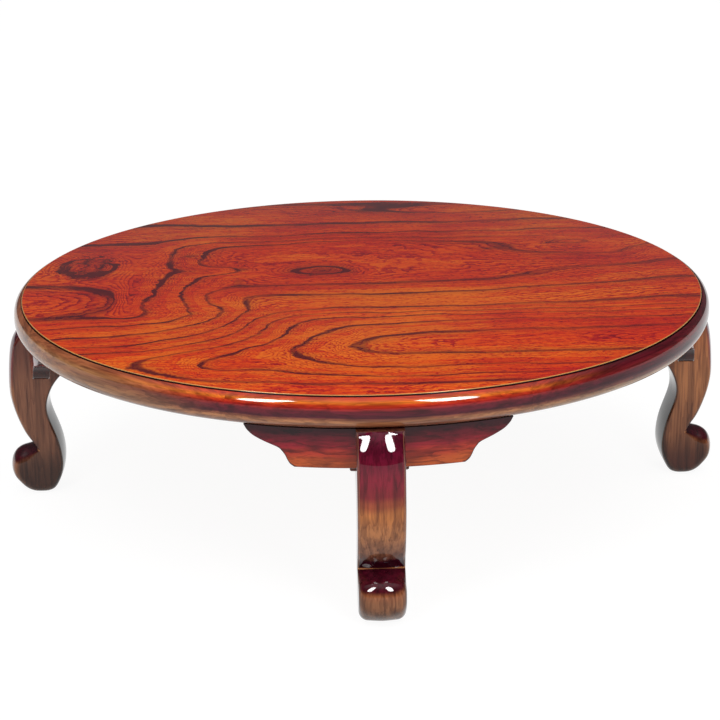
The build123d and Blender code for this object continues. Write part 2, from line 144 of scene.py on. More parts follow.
def set_stops(ramp: bpy.types.ColorRamp, stops: Shades) -> None:
    """Write the stops into a node's ramp."""
    marks = ramp.elements
    while len(marks) < len(stops):
        marks.new(0.5)
    for mark, (spot, colour) in zip(marks, stops):
        mark.position = spot
        mark.color = colour


# ---------------------------------------------------------------- curves and meshes
def bend(knots: Sequence[Point], steps: int) -> list[Point]:
    """A smooth line through all the knots.

    Args:
        knots: Points that the line passes, at least two.
        steps: Pieces between one knot and the next.

    Returns:
        The line's points, the first and last knot among them.
    """
    ends = [knots[0], *knots, knots[-1]]
    line = []
    for before, start, stop, after in zip(ends, ends[1:], ends[2:], ends[3:]):
        for step in range(steps):
            t = step / steps
            line.append(
                tuple(
                    0.5
                    * (
                        2 * b
                        + (c - a) * t
                        + (2 * a - 5 * b + 4 * c - d) * t * t
                        + (3 * b - a - 3 * c + d) * t**3
                    )
                    for a, b, c, d in zip(before, start, stop, after)
                )
            )
    line.append(tuple(knots[-1]))
    return line


def ease(share: float) -> float:
    """A share held between 0 and 1 that starts and ends gently."""
    held = min(1.0, max(0.0, share))
    return held * held * (3.0 - 2.0 * held)


def arc(centre: Point, run: float, rise: float, start: float, stop: float, steps: int) -> list[Point]:
    """Points on a quarter or more of an ellipse, angles in degrees."""
    angles = [math.radians(start + (stop - start) * step / steps) for step in range(steps + 1)]
    return [(centre[0] + run * math.cos(turn), centre[1] + rise * math.sin(turn)) for turn in angles]


def polar(reach: float, turn: float, level: float) -> Vector:
    """A point given by its reach from the axis, its turn round it in radians and its height."""
    return Vector((reach * math.cos(turn), reach * math.sin(turn), level))


def make_piece(name: str, verts: Sequence[Vector], faces: Sequence[Sequence[int]]) -> Piece:
    """A mesh object with smooth shading, its faces turned outwards."""
    mesh = bpy.data.meshes.new(name)
    mesh.from_pydata([tuple(v) for v in verts], [], [tuple(f) for f in faces])
    solid = bmesh.new()
    solid.from_mesh(mesh)
    bmesh.ops.recalc_face_normals(solid, faces=solid.faces)
    solid.to_mesh(mesh)
    solid.free()
    mesh.shade_smooth()
    piece = bpy.data.objects.new(name, mesh)
    bpy.context.scene.collection.objects.link(piece)
    return piece


def sharpen(piece: Piece, degrees: float) -> None:
    """Keep the edges sharp where two faces meet at more than this angle."""
    piece.data.set_sharp_from_angle(angle=math.radians(degrees))


def turned_faces(rings: int, around: int, closed: bool) -> list[tuple[int, int, int, int]]:
    """Quads between rings of points laid one after another.

    Args:
        rings: Number of rings.
        around: Points in each ring, which closes on itself.
        closed: Whether the last ring joins the first.

    Returns:
        The faces' corners.
    """
    faces = []
    for ring in range(rings if closed else rings - 1):
        here = ring * around
        there = (ring + 1) % rings * around
        for spot in range(around):
            after = (spot + 1) % around
            faces.append((here + spot, here + after, there + after, there + spot))
    return faces


# ---------------------------------------------------------------- node sheets
class Sheet:
    """A material's node tree, with a short method for each kind of node used here."""

    def __init__(self, name: str) -> None:
        """Start an empty material that reads its place from the piece itself."""
        self.material = bpy.data.materials.new(name)
        self.material.use_nodes = True
        self.tree = self.material.node_tree
        self.tree.nodes.clear()
        self.place = self.add("ShaderNodeTexCoord").outputs["Object"]
        self.tint: Socket | None = None

    def add(self, kind: str, **settings: object) -> bpy.types.Node:
        """Add a node and set its plain settings."""
        node = self.tree.nodes.new(kind)
        for key, value in settings.items():
            setattr(node, key, value)
        return node

    def put(self, socket: Socket, value: Value) -> None:
        """Link a socket, or set its value."""
        if isinstance(value, Socket):
            self.tree.links.new(value, socket)
        else:
            socket.default_value = value

    def math(self, operation: str, *values: Value) -> Socket:
        """One sum of numbers, such as MULTIPLY or FRACT."""
        node = self.add("ShaderNodeMath", operation=operation)
        for socket, value in zip(node.inputs, values):
            self.put(socket, value)
        return node.outputs[0]

    def times(self, first: Value, *others: Value) -> Socket:
        """All the values multiplied."""
        return reduce(lambda result, value: self.math("MULTIPLY", result, value), others, first)

    def plus(self, first: Value, *others: Value) -> Socket:
        """All the values added up."""
        return reduce(lambda result, value: self.math("ADD", result, value), others, first)

    def less(self, value: Value, taken: Value) -> Socket:
        """One value with another taken away."""
        return self.math("SUBTRACT", value, taken)

    def reach(self, x: Value, y: Value) -> Socket:
        """Length of a level vector."""
        return self.math("SQRT", self.plus(self.times(x, x), self.times(y, y)))

    def parts(self, vector: Socket) -> tuple[Socket, Socket, Socket]:
        """A vector's x, y and z."""
        node = self.add("ShaderNodeSeparateXYZ")
        self.put(node.inputs[0], vector)
        return node.outputs[0], node.outputs[1], node.outputs[2]

    def joined(self, x: Value, y: Value, z: Value = 0.0) -> Socket:
        """A vector made of three numbers."""
        node = self.add("ShaderNodeCombineXYZ")
        for socket, value in zip(node.inputs, (x, y, z)):
            self.put(socket, value)
        return node.outputs[0]

    def stretched(self, vector: Socket, factors: tuple[float, float, float]) -> Socket:
        """A vector with each part multiplied."""
        node = self.add("ShaderNodeVectorMath", operation="MULTIPLY")
        self.put(node.inputs[0], vector)
        self.put(node.inputs[1], factors)
        return node.outputs[0]

    def noise(self, vector: Socket, scale: float, detail: float = 2.0, rough: float = 0.5) -> Socket:
        """Soft random values, mostly 0.3 to 0.7."""
        node = self.add("ShaderNodeTexNoise")
        self.put(node.inputs["Vector"], vector)
        self.put(node.inputs["Scale"], scale)
        self.put(node.inputs["Detail"], detail)
        self.put(node.inputs["Roughness"], rough)
        return node.outputs["Fac"]

    def drawn(self, factors: tuple[float, float, float], detail: float = 2.0, rough: float = 0.5) -> Socket:
        """Soft random values drawn out along the piece, finer where a factor is larger."""
        return self.noise(self.stretched(self.place, factors), 1.0, detail, rough)

    def span(
        self, value: Value, low: float, high: float, out_low: float = 0.0, out_high: float = 1.0
    ) -> Socket:
        """A value carried smoothly from one span to another and held at its ends."""
        node = self.add("ShaderNodeMapRange", interpolation_type="SMOOTHSTEP")
        for socket, item in zip(node.inputs, (value, low, high, out_low, out_high)):
            self.put(socket, item)
        return node.outputs[0]

    def ramp(self, value: Value, stops: Shades) -> Socket:
        """A colour read from a row of stops."""
        node = self.add("ShaderNodeValToRGB")
        node.color_ramp.interpolation = "EASE"
        set_stops(node.color_ramp, stops)
        self.put(node.inputs[0], value)
        return node.outputs[0]

    def mix(self, share: Value, low: Value, high: Value, blend: str = "MIX") -> Socket:
        """Two colours mixed by a share from 0 to 1."""
        node = self.add("ShaderNodeMix", data_type="RGBA", blend_type=blend)
        self.put(node.inputs[0], share)
        self.put(node.inputs[6], low)
        self.put(node.inputs[7], high)
        return node.outputs[2]

    def read(self, name: str) -> Socket:
        """A value written on the mesh's own points."""
        return self.add("ShaderNodeAttribute", attribute_name=name).outputs["Fac"]

    def bump(self, height: Socket, depth: float) -> Socket:
        """A surface normal tilted by a height from 0 to 1 that stands for a depth in metres."""
        node = self.add("ShaderNodeBump")
        self.put(node.inputs["Strength"], 1.0)
        self.put(node.inputs["Distance"], depth)
        self.put(node.inputs["Height"], height)
        return node.outputs[0]

    def turn_by_segment(
        self, count: int, shift: float = 3.7, phase: float = -2.6, dark: float = 0.78, pale: float = 1.12
    ) -> None:
        """Turn the place so that Y runs along each sawn segment of a ring of them.

        Args:
            count: Segments in the ring.
            shift: How far apart in the pattern two neighbours are taken.
            phase: Where in the ring the palest segment lies, in radians; at the front left it also stands in
                as painted light.
            dark: Tint of the darkest segment.
            pale: Tint of the palest segment.
        """
        x, y, z = self.parts(self.place)
        angle = self.math("ARCTAN2", y, x)
        number = self.math("ROUND", self.times(angle, count / math.tau))
        turn = self.times(number, math.tau / count)
        cosine, sine = self.math("COSINE", turn), self.math("SINE", turn)
        out = self.plus(self.times(x, cosine), self.times(y, sine))
        along = self.less(self.times(y, cosine), self.times(x, sine))
        self.place = self.joined(out, self.plus(along, self.times(number, shift)), z)
        self.tint = self.span(self.math("SINE", self.plus(turn, phase)), -1.0, 1.0, dark, pale)

    def close(self, shader: Socket) -> Material:
        """Give the material its output and hand it over."""
        self.put(self.add("ShaderNodeOutputMaterial").inputs["Surface"], shader)
        return self.material

    def surface(self, colour: Value, rough: Value, normal: Socket | None = None, **fixed: float) -> Material:
        """Close the sheet with one surface shader.

        Args:
            colour: Base colour.
            rough: Roughness.
            normal: Surface normal, if the finish has relief.
            fixed: Other sockets of the shader, with an underscore for each space in their names.

        Returns:
            The finished material.
        """
        shader = self.add("ShaderNodeBsdfPrincipled")
        self.put(shader.inputs["Base Color"], colour)
        self.put(shader.inputs["Roughness"], rough)
        if normal is not None:
            self.put(shader.inputs["Normal"], normal)
        for key, value in fixed.items():
            self.put(shader.inputs[key.replace("_", " ")], value)
        return self.close(shader.outputs[0])


# ---------------------------------------------------------------- finishes
@dataclass(frozen=True)
class Swell:
    """A hill or hollow in the stack of growth rings that the saw cut through."""

    x: float
    y: float
    run: float
    depth: float
    lift: float

    def height(self, sheet: Sheet, x: Socket, y: Socket) -> Socket:
        """How far the rings are lifted at a place."""
        along = sheet.math("DIVIDE", sheet.less(x, self.x), self.run)
        across = sheet.math("DIVIDE", sheet.less(y, self.y), self.depth)
        squares = sheet.plus(sheet.times(along, along), sheet.times(across, across))
        return sheet.times(sheet.math("EXPONENT", sheet.times(squares, -1.0)), self.lift)


def lifts(swells: Sequence[Swell], sheet: Sheet, x: Socket, y: Socket) -> Socket:
    """How far all the swells together lift the rings at a place."""
    return sheet.plus(*(swell.height(sheet, x, y) for swell in swells))


@dataclass(frozen=True)
class Knot:
    """How many growth rings have been passed at a distance from the board's middle, towards its back."""

    y: float
    rings: float


@dataclass(frozen=True)
class Stack:
    """The growth rings as they cross one half of the board, from its front edge to its back edge."""

    knots: tuple[Knot, ...]
    reach: float = 0.53
    fewest: float = -1.0
    spread: float = 13.0

    def count(self, sheet: Sheet, y: Socket) -> Socket:
        """The ring count at a place."""
        node = sheet.add("ShaderNodeFloatCurve")
        line = node.mapping.curves[0]
        while len(line.points) < len(self.knots):
            line.points.new(0.5, 0.5)
        for mark, knot in zip(line.points, self.knots):
            share = (knot.y + self.reach) / (2 * self.reach)
            mark.location = (share, (knot.rings - self.fewest) / self.spread)
            mark.handle_type = "AUTO_CLAMPED"
        node.mapping.update()
        sheet.put(node.inputs["Value"], sheet.math("DIVIDE", sheet.plus(y, self.reach), 2 * self.reach))
        return sheet.math("MULTIPLY_ADD", node.outputs[0], self.spread, self.fewest)


@dataclass(frozen=True)
class BoardLacquer:
    """Red lacquer over a flat-sawn keyaki board with a bold figure of noses, cliffs and eyes."""

    right: Stack = Stack(
        (
            Knot(-0.53, 7.6), Knot(-0.47, 8.0), Knot(-0.44, 9.0), Knot(-0.405, 10.0), Knot(-0.353, 11.0),
            Knot(-0.30, 11.5), Knot(-0.25, 11.0), Knot(-0.205, 10.0), Knot(-0.175, 9.0), Knot(-0.155, 8.0),
            Knot(-0.13, 7.0), Knot(-0.06, 6.0), Knot(-0.01, 5.0), Knot(0.03, 4.62), Knot(0.19, 4.45),
            Knot(0.225, 4.0), Knot(0.25, 3.0), Knot(0.29, 2.0), Knot(0.355, 1.0), Knot(0.43, 0.5),
            Knot(0.53, -0.4),
        )
    )
    left: Stack = Stack(
        (
            Knot(-0.53, 8.2), Knot(-0.45, 7.5), Knot(-0.36, 7.4), Knot(-0.325, 7.0), Knot(-0.29, 6.0),
            Knot(-0.25, 5.0), Knot(-0.205, 4.0), Knot(-0.17, 3.0), Knot(-0.14, 2.55), Knot(0.2, 2.4),
            Knot(0.25, 2.0), Knot(0.37, 1.0), Knot(0.53, -0.4),
        )
    )
    swells: tuple[Swell, ...] = (
        Swell(-0.23, 0.085, 0.05, 0.022, -0.9),
        Swell(-0.057, 0.07, 0.055, 0.033, -0.9),
        Swell(-0.185, 0.03, 0.035, 0.03, 0.35),
        Swell(0.0, 0.235, 0.12, 0.03, 0.5),
        Swell(0.355, 0.203, 0.055, 0.023, 0.6),
        Swell(0.50, 0.15, 0.07, 0.05, 0.9),
        Swell(0.42, 0.175, 0.20, 0.07, -1.1),
        Swell(0.50, 0.0, 0.25, 0.10, 1.0),
        Swell(0.20, 0.43, 0.20, 0.035, -0.8),
        Swell(-0.425, 0.127, 0.052, 0.060, 0.95),
        Swell(-0.50, -0.06, 0.16, 0.10, 0.95),
        Swell(-0.345, -0.04, 0.02, 0.12, -0.5),
        Swell(-0.25, -0.35, 0.10, 0.07, 0.75),
        Swell(-0.21, -0.39, 0.05, 0.035, 0.5),
    )
    stains: tuple[Swell, ...] = (
        Swell(-0.057, 0.07, 0.040, 0.024, 0.55),
        Swell(-0.42, 0.072, 0.024, 0.020, 0.9),
        Swell(-0.425, 0.132, 0.036, 0.036, 0.2),
        Swell(-0.455, 0.120, 0.006, 0.028, 0.75),
        Swell(-0.432, 0.145, 0.005, 0.024, 0.7),
        Swell(-0.408, 0.128, 0.006, 0.026, 0.75),
        Swell(-0.440, 0.100, 0.020, 0.007, 0.6),
        Swell(0.03, 0.435, 0.03, 0.014, 0.75),
        Swell(0.09, 0.46, 0.05, 0.012, 0.5),
        Swell(-0.265, 0.172, 0.012, 0.010, 0.6),
        Swell(-0.185, 0.090, 0.018, 0.006, 0.4),
        Swell(0.21, 0.176, 0.014, 0.007, 0.6),
    )
    red_zones: tuple[Swell, ...] = (
        Swell(0.05, 0.12, 0.24, 0.10, 0.17),
        Swell(0.40, -0.25, 0.24, 0.14, 0.24),
        Swell(0.38, 0.02, 0.16, 0.10, 0.16),
        Swell(0.08, -0.49, 0.36, 0.07, 0.24),
        Swell(-0.40, 0.10, 0.12, 0.16, 0.18),
    )
    glow_zones: tuple[Swell, ...] = (
        Swell(0.03, -0.085, 0.16, 0.05, 0.30),
        Swell(-0.12, -0.26, 0.18, 0.14, 0.22),
        Swell(-0.28, -0.02, 0.05, 0.20, 0.14),
        Swell(-0.26, 0.19, 0.10, 0.05, 0.12),
    )
    burl: Swell = Swell(-0.425, 0.127, 0.07, 0.06, 0.15)
    cliff: float = -0.272
    cliff_width: float = 0.05
    cliff_front: float = -0.30
    cliff_drift: float = 0.122
    cliff_widening: float = 0.07
    wander: float = 0.035
    jag_along: float = 0.020
    jag_across: float = 0.006
    fine_rings: float = 12.0
    fine_jag: float = 3.0
    hair_depth: float = 0.32
    darkest: float = 0.93
    arris_radius: float = 0.5113
    arris_blend: float = 0.0006
    groove_level: float = 0.3191
    groove_blend: float = 0.0003
    line_stain: Colour = tone(84, 8, 30)
    # painted highlight: the pale gold ring on the board's eased edge stands for light caught on the arris
    arris_highlight: Colour = tone(224, 160, 84)
    # painted shade: the board's edge down in the groove next to the rim is coloured near black
    groove_shade: Colour = tone(34, 8, 12)
    line_fade: Shades = greys((0.0, 0.0), (0.40, 0.02), (0.470, 1.0), (0.520, 1.0), (0.62, 0.22), (0.84, 0.0))
    glow_shades: Shades = shades(
        (0.0, 138, 8, 30), (0.25, 200, 26, 30), (0.5, 224, 54, 24), (0.75, 242, 80, 21), (1.0, 254, 122, 31)
    )

    def rings(self, sheet: Sheet, x: Socket, y: Socket) -> Socket:
        """Count of growth rings at a place: two stacks that meet at a cliff, and the swells in them."""
        middle = sheet.span(y, 0.0, self.cliff_front, self.cliff, self.cliff + self.cliff_drift)
        width = sheet.span(y, 0.0, self.cliff_front, self.cliff_width, self.cliff_width + self.cliff_widening)
        side = sheet.math("TANH", sheet.math("DIVIDE", sheet.less(x, middle), width))
        share = sheet.math("MULTIPLY_ADD", side, 0.5, 0.5)
        left = sheet.times(self.left.count(sheet, y), sheet.less(1.0, share))
        right = sheet.times(self.right.count(sheet, y), share)
        return sheet.plus(left, right, *(swell.height(sheet, x, y) for swell in self.swells))

    def glow(self, sheet: Sheet, x: Socket, y: Socket, fibres: Socket, step: Socket) -> Socket:
        """How bright the wood between the dark lines is, before its ripples and pores.

        Args:
            sheet: The finish's nodes.
            x: Place across the table, wandering with the grain.
            y: Place from front to back, wandering with the grain.
            fibres: Fine random values along the grain.
            step: How far the place is on its way from one ring to the next.

        Returns:
            The glow, from about 0 for dark red to 1 for orange.
        """
        cloud = sheet.span(sheet.drawn((4.0, 8.0, 1.0), 3.0, 0.5), 0.3, 0.7, 0.28, 0.66)
        front = sheet.times(sheet.span(y, -0.5, 0.4, 1.0, 0.0), 0.13)
        fibre = sheet.times(sheet.span(fibres, 0.3, 0.7), 0.34)
        band = sheet.span(step, 0.52, 1.0, 0.12, -0.06)
        pale = lifts(self.glow_zones, sheet, x, y)
        red = lifts(self.red_zones, sheet, x, y)
        return sheet.less(sheet.plus(cloud, front, fibre, band, pale), red)

    def material(self) -> Material:
        """Build the finish."""
        sheet = Sheet("board_lacquer")
        plain_x, plain_y, plain_z = sheet.parts(sheet.place)
        slow = sheet.less(sheet.drawn((8.0, 9.0, 1.0), 2.0), 0.5)
        jag = sheet.less(sheet.drawn((34.0, 46.0, 1.0), 3.0, 0.6), 0.5)
        torn = sheet.times(jag, self.burl.height(sheet, plain_x, plain_y))
        drift = sheet.less(sheet.noise(sheet.stretched(sheet.place, (11.0, 7.0, 1.0)), 1.3, 2.0), 0.5)
        x = sheet.plus(plain_x, sheet.times(drift, self.wander), sheet.times(jag, self.jag_along))
        y = sheet.plus(plain_y, sheet.times(slow, self.wander), sheet.times(jag, self.jag_across), torn)
        rings = self.rings(sheet, x, y)
        step = sheet.math("FRACT", sheet.plus(rings, 0.5))
        force = sheet.span(sheet.drawn((7.0, 16.0, 1.0), 2.0), 0.34, 0.60, 0.5, 1.0)
        fading = sheet.span(plain_x, -0.05, 0.25, 1.0, 0.66)
        line = sheet.times(sheet.ramp(step, self.line_fade), force, fading)
        frayed = sheet.times(jag, self.fine_jag)
        fine = sheet.math("FRACT", sheet.math("MULTIPLY_ADD", rings, self.fine_rings, frayed))
        patch = sheet.span(sheet.noise(sheet.place, 11.0, 2.0), 0.36, 0.60, 0.25, 1.0)
        ripple = sheet.times(sheet.span(fine, 0.45, 0.95), patch)
        pits = sheet.span(sheet.drawn((110.0, 520.0, 1.0), 2.0, 0.6), 0.57, 0.66)
        fibres = sheet.drawn((22.0, 260.0, 1.0), 3.0, 0.7)
        glow = sheet.plus(
            self.glow(sheet, x, y, fibres, step), sheet.times(ripple, -0.48), sheet.times(pits, -0.58)
        )
        hair = sheet.times(sheet.math("MAXIMUM", sheet.times(ripple, 0.8), pits), self.hair_depth)
        dark = sheet.math("MINIMUM", sheet.plus(line, lifts(self.stains, sheet, x, y), hair), self.darkest)
        lined = sheet.mix(dark, sheet.ramp(glow, self.glow_shades), self.line_stain)
        # painted highlight on the arris, a ring just inside the board's edge
        reach = sheet.reach(plain_x, plain_y)
        painted_glint = sheet.span(reach, self.arris_radius, self.arris_radius + self.arris_blend)
        edged = sheet.mix(painted_glint, lined, self.arris_highlight)
        # painted shade in the groove: below the board's top, its edge is coloured near black
        groove_shade_share = sheet.span(plain_z, self.groove_level, self.groove_level + self.groove_blend, 1.0, 0.0)
        skin = sheet.noise(sheet.place, 60.0, 1.0)
        relief = sheet.plus(sheet.times(skin, 0.6), sheet.times(line, -0.4))
        return sheet.surface(
            sheet.mix(groove_shade_share, edged, self.groove_shade),
            sheet.span(fibres, 0.3, 0.7, 0.34, 0.5),
            sheet.bump(relief, 0.00006),
            Coat_Weight=1.0,
            Coat_Roughness=0.04,
            Coat_IOR=1.42,
            Specular_IOR_Level=0.0,
        )


@dataclass(frozen=True)
class StainAndLightLacquer:
    """Gloss lacquer over stained wood, coloured by a ramp from one height to another that holds the stain's
    shading and painted light and shade.
    """

    name: str
    grain: Grain
    shades: Shades
    low: float
    high: float
    streaks: float = 0.5
    drift: float = 0.02
    coat_rough: float = 0.03
    thread_finer: float = 3.2
    thread_depth: float = 0.42
    thread_stain: Colour = (0.3, 0.2, 0.25, 1.0)
    dusk_depth: float = 0.62
    dusk_stain: Colour = (0.35, 0.3, 0.33, 1.0)
    streak_stain: Colour = (0.28, 0.2, 0.26, 1.0)

    def shaded(self, sheet: Sheet, share: Socket, x: Socket) -> Socket:
        """The stain and painted light at a height, before the wood's own pattern.

        Args:
            sheet: The finish's nodes.
            share: The height as a share from low to high.
            x: Place across the table.

        Returns:
            The colour of stain and painted light.
        """
        return sheet.ramp(share, self.shades)

    def overlaid(self, sheet: Sheet, wood: Socket) -> Socket:
        """The wood's colour once a tint or painted highlight is laid over it."""
        return wood

    def grained(self, sheet: Sheet) -> None:
        """Lay the grain's direction on the sheet where it isn't straight."""

    def material(self) -> Material:
        """Build the finish."""
        sheet = Sheet(self.name)
        x, _, z = sheet.parts(sheet.place)
        self.grained(sheet)
        close_up = self.grain.factors(110.0, 5.0)
        fibres = sheet.drawn(close_up, 3.0, 0.65)
        band = sheet.math("FRACT", sheet.times(sheet.drawn(self.grain.factors(22.0, 2.5), 4.0, 0.55), 9.0))
        streak = sheet.times(sheet.span(band, 0.55, 0.95), self.streaks)
        cloud = sheet.less(sheet.noise(sheet.place, 14.0), 0.5)
        share = sheet.span(sheet.math("MULTIPLY_ADD", cloud, self.drift, z), self.low, self.high)
        stain = self.shaded(sheet, share, x)
        threads = sheet.drawn(tuple(self.thread_finer * factor for factor in close_up), 2.0, 0.6)
        thread = sheet.span(threads, 0.50, 0.66, 0.0, self.thread_depth)
        threaded = sheet.mix(thread, stain, self.thread_stain, "MULTIPLY")
        dusk = sheet.times(sheet.span(fibres, 0.40, 0.62), self.dusk_depth)
        dusky = sheet.mix(dusk, threaded, self.dusk_stain, "MULTIPLY")
        wood = sheet.mix(streak, dusky, self.streak_stain, "MULTIPLY")
        return sheet.surface(
            self.overlaid(sheet, wood),
            sheet.span(fibres, 0.3, 0.7, 0.35, 0.5),
            sheet.bump(sheet.noise(sheet.place, 45.0, 1.0), 0.00008),
            Coat_Weight=1.0,
            Coat_Roughness=self.coat_rough,
            Coat_IOR=1.38,
            Specular_IOR_Level=0.0,
        )


@dataclass(frozen=True)
class RimLacquer(StainAndLightLacquer):
    """The rim's finish: segments of their own tint, which also paints the front left paler, with painted
    light blended in on the left and painted shade on the right.
    """

    segments: int = 8
    left: Shades = ()
    right: Shades = ()
    left_light_blend: tuple[float, float] = (-0.40, -0.20)
    right_light_blend: tuple[float, float] = (0.14, 0.34)

    def grained(self, sheet: Sheet) -> None:
        """Turn the grain with the segments."""
        sheet.turn_by_segment(self.segments)

    def shaded(self, sheet: Sheet, share: Socket, x: Socket) -> Socket:
        """The stain at a height, with painted light blended in on the left and painted shade on the right."""
        left_light_share = sheet.span(x, *self.left_light_blend, 1.0, 0.0)
        stain = sheet.mix(left_light_share, sheet.ramp(share, self.shades), sheet.ramp(share, self.left))
        return sheet.mix(sheet.span(x, *self.right_light_blend), stain, sheet.ramp(share, self.right))

    def overlaid(self, sheet: Sheet, wood: Socket) -> Socket:
        """The wood with its segment's tint: the segments' own tone, set palest at the front left as painted
        light.
        """
        return sheet.mix(1.0, wood, sheet.joined(sheet.tint, sheet.tint, sheet.tint), "MULTIPLY")


@dataclass(frozen=True)
class LegLacquer(StainAndLightLacquer):
    """The legs' finish: stained down the front with painted light in it, browner sides, a calf in painted
    shade and painted highlights on the edges.
    """

    sides: Shades = ()
    right_sides: Shades = ()
    calf_shade: Shades = ()
    # colour of the painted highlight along the edges
    painted_glint: Colour = tone(192, 132, 88)
    cheek_blend: tuple[float, float] = (0.1, 0.3)
    calf_blend: tuple[float, float] = (-0.6, -0.2)
    side_blend: tuple[float, float] = (1.2, 1.9)
    glint_blend: tuple[float, float] = (0.35, 0.9)
    glint_depth: float = 0.85

    def facing(self, sheet: Sheet) -> Socket:
        """How far the face looks away from the table's middle: 1 outwards, -1 inwards."""
        normal_x, normal_y, _ = sheet.parts(sheet.add("ShaderNodeTexCoord").outputs["Normal"])
        x, y, _ = sheet.parts(sheet.place)
        along = sheet.plus(sheet.times(normal_x, x), sheet.times(normal_y, y))
        return sheet.math("DIVIDE", along, sheet.reach(x, y))

    def shaded(self, sheet: Sheet, share: Socket, x: Socket) -> Socket:
        """The stain at a height on the front and the sides, with painted shade on the calf."""
        rightward = sheet.span(x, *self.cheek_blend)
        cheeks = sheet.mix(rightward, sheet.ramp(share, self.sides), sheet.ramp(share, self.right_sides))
        # painted shade on faces turned in towards the table's middle
        inward = sheet.span(self.facing(sheet), *self.calf_blend, 1.0, 0.0)
        stain = sheet.mix(inward, sheet.ramp(share, self.shades), sheet.ramp(share, self.calf_shade))
        return sheet.mix(sheet.span(sheet.read(ACROSS), *self.side_blend), stain, cheeks)

    def overlaid(self, sheet: Sheet, wood: Socket) -> Socket:
        """The wood with a pale painted highlight along its edges."""
        glint = sheet.span(sheet.read(EDGE_GLINT), *self.glint_blend, 0.0, self.glint_depth)
        return sheet.mix(glint, wood, self.painted_glint)


@dataclass(frozen=True)
class ApronLacquer(StainAndLightLacquer):
    """The aprons' finish: painted shade towards the ends, near black on the ends' sawn ogees."""

    ends: float = 0.160
    ends_blend: float = 0.012
    ends_shade_depth: float = 0.30
    end_shade_depth: float = 0.92
    end_shade_colour: Colour = tone(38, 12, 16)

    def shaded(self, sheet: Sheet, share: Socket, x: Socket) -> Socket:
        """The stain at a height, with painted shade at the ends."""
        # painted shade towards the ends and near black on the sawn ogees
        aside = sheet.math("ABSOLUTE", sheet.parts(sheet.place)[self.grain.value])
        end_shade_share = sheet.span(aside, self.ends, self.ends + self.ends_blend, 0.0, self.ends_shade_depth)
        end_shade_share = sheet.math("MAXIMUM", end_shade_share, sheet.times(sheet.read(END_SHADE), self.end_shade_depth))
        return sheet.mix(end_shade_share, sheet.ramp(share, self.shades), self.end_shade_colour)


@dataclass(frozen=True)
class BareWood:
    """Sawn or sanded wood with a thin wipe of stain and no gloss."""

    name: str
    early: Colour
    late: Colour
    grain: Grain
    rough: float
    uneven: float = 0.08

    def material(self) -> Material:
        """Build the finish."""
        sheet = Sheet(self.name)
        fibres = sheet.drawn(self.grain.factors(160.0, 6.0), 4.0, 0.7)
        broad = sheet.drawn(self.grain.factors(16.0, 1.6), 3.0)
        band = sheet.span(sheet.math("FRACT", sheet.times(broad, 14.0)), 0.3, 0.95)
        share = sheet.math("MULTIPLY_ADD", fibres, 0.5, sheet.times(band, 0.5))
        return sheet.surface(
            sheet.mix(share, self.early, self.late),
            sheet.span(fibres, 0.3, 0.7, self.rough - self.uneven, self.rough + self.uneven),
            sheet.bump(fibres, 0.0002),
            Specular_IOR_Level=0.4,
        )


@dataclass(frozen=True)
class PlatedSteel:
    """Pressed steel with a thin plating that has dulled and rubbed."""

    name: str
    bright: Colour
    dull: Colour
    rough: float
    uneven: float = 0.1

    def material(self) -> Material:
        """Build the finish."""
        sheet = Sheet(self.name)
        cloud = sheet.noise(sheet.place, 70.0, 4.0, 0.6)
        scratch = sheet.drawn((40.0, 900.0, 300.0), 2.0)
        colour = sheet.mix(sheet.span(cloud, 0.35, 0.65), self.bright, self.dull)
        dulled = sheet.span(cloud, 0.3, 0.7, self.rough - self.uneven, self.rough + self.uneven)
        rough = sheet.plus(dulled, sheet.times(scratch, self.uneven))
        return sheet.surface(colour, rough, sheet.bump(scratch, 0.00003), Metallic=1.0)


@dataclass(frozen=True)
class PressedFelt:
    """Dark pressed wool felt."""

    name: str = "pressed_felt"
    root: Colour = tone(72, 44, 36)
    tip: Colour = tone(128, 92, 74)

    def material(self) -> Material:
        """Build the finish."""
        sheet = Sheet(self.name)
        hairs = sheet.noise(sheet.place, 900.0, 4.0, 0.7)
        clumps = sheet.noise(sheet.place, 160.0, 2.0)
        colour = sheet.mix(sheet.times(hairs, clumps), self.root, self.tip)
        return sheet.surface(colour, 0.95, sheet.bump(hairs, 0.0003), Sheen_Weight=0.4)


# the rim's stain shaded from its underside to the board, darkest across the belly; the pale tan low down is
# painted reflection of the floor, and the bright orange band near the top is partly painted highlight
RIM_STAIN_AND_LIGHT = shades(
    (0.0, 150, 92, 64), (0.22, 204, 136, 88), (0.33, 160, 90, 64), (0.42, 92, 18, 38), (0.66, 110, 20, 38),
    (0.78, 170, 36, 34), (0.88, 210, 62, 32), (0.95, 244, 126, 42), (1.0, 206, 60, 34),
)
# painted light: the rim's left side as the left soft box lights it, pale tan nearly all the way up
RIM_LEFT_PAINTED_LIGHT = shades(
    (0.0, 164, 112, 74), (0.30, 190, 134, 86), (0.55, 186, 126, 80), (0.72, 170, 108, 70),
    (0.88, 194, 136, 88), (1.0, 170, 98, 62),
)
# painted shade: the rim's right side dark maroon, its cream lower edge painted reflection of the floor
RIM_RIGHT_PAINTED_LIGHT = shades(
    (0.0, 214, 172, 118), (0.20, 196, 144, 98), (0.34, 132, 62, 52), (0.52, 76, 14, 34),
    (0.72, 98, 16, 38), (0.86, 140, 36, 40), (1.0, 104, 18, 34),
)
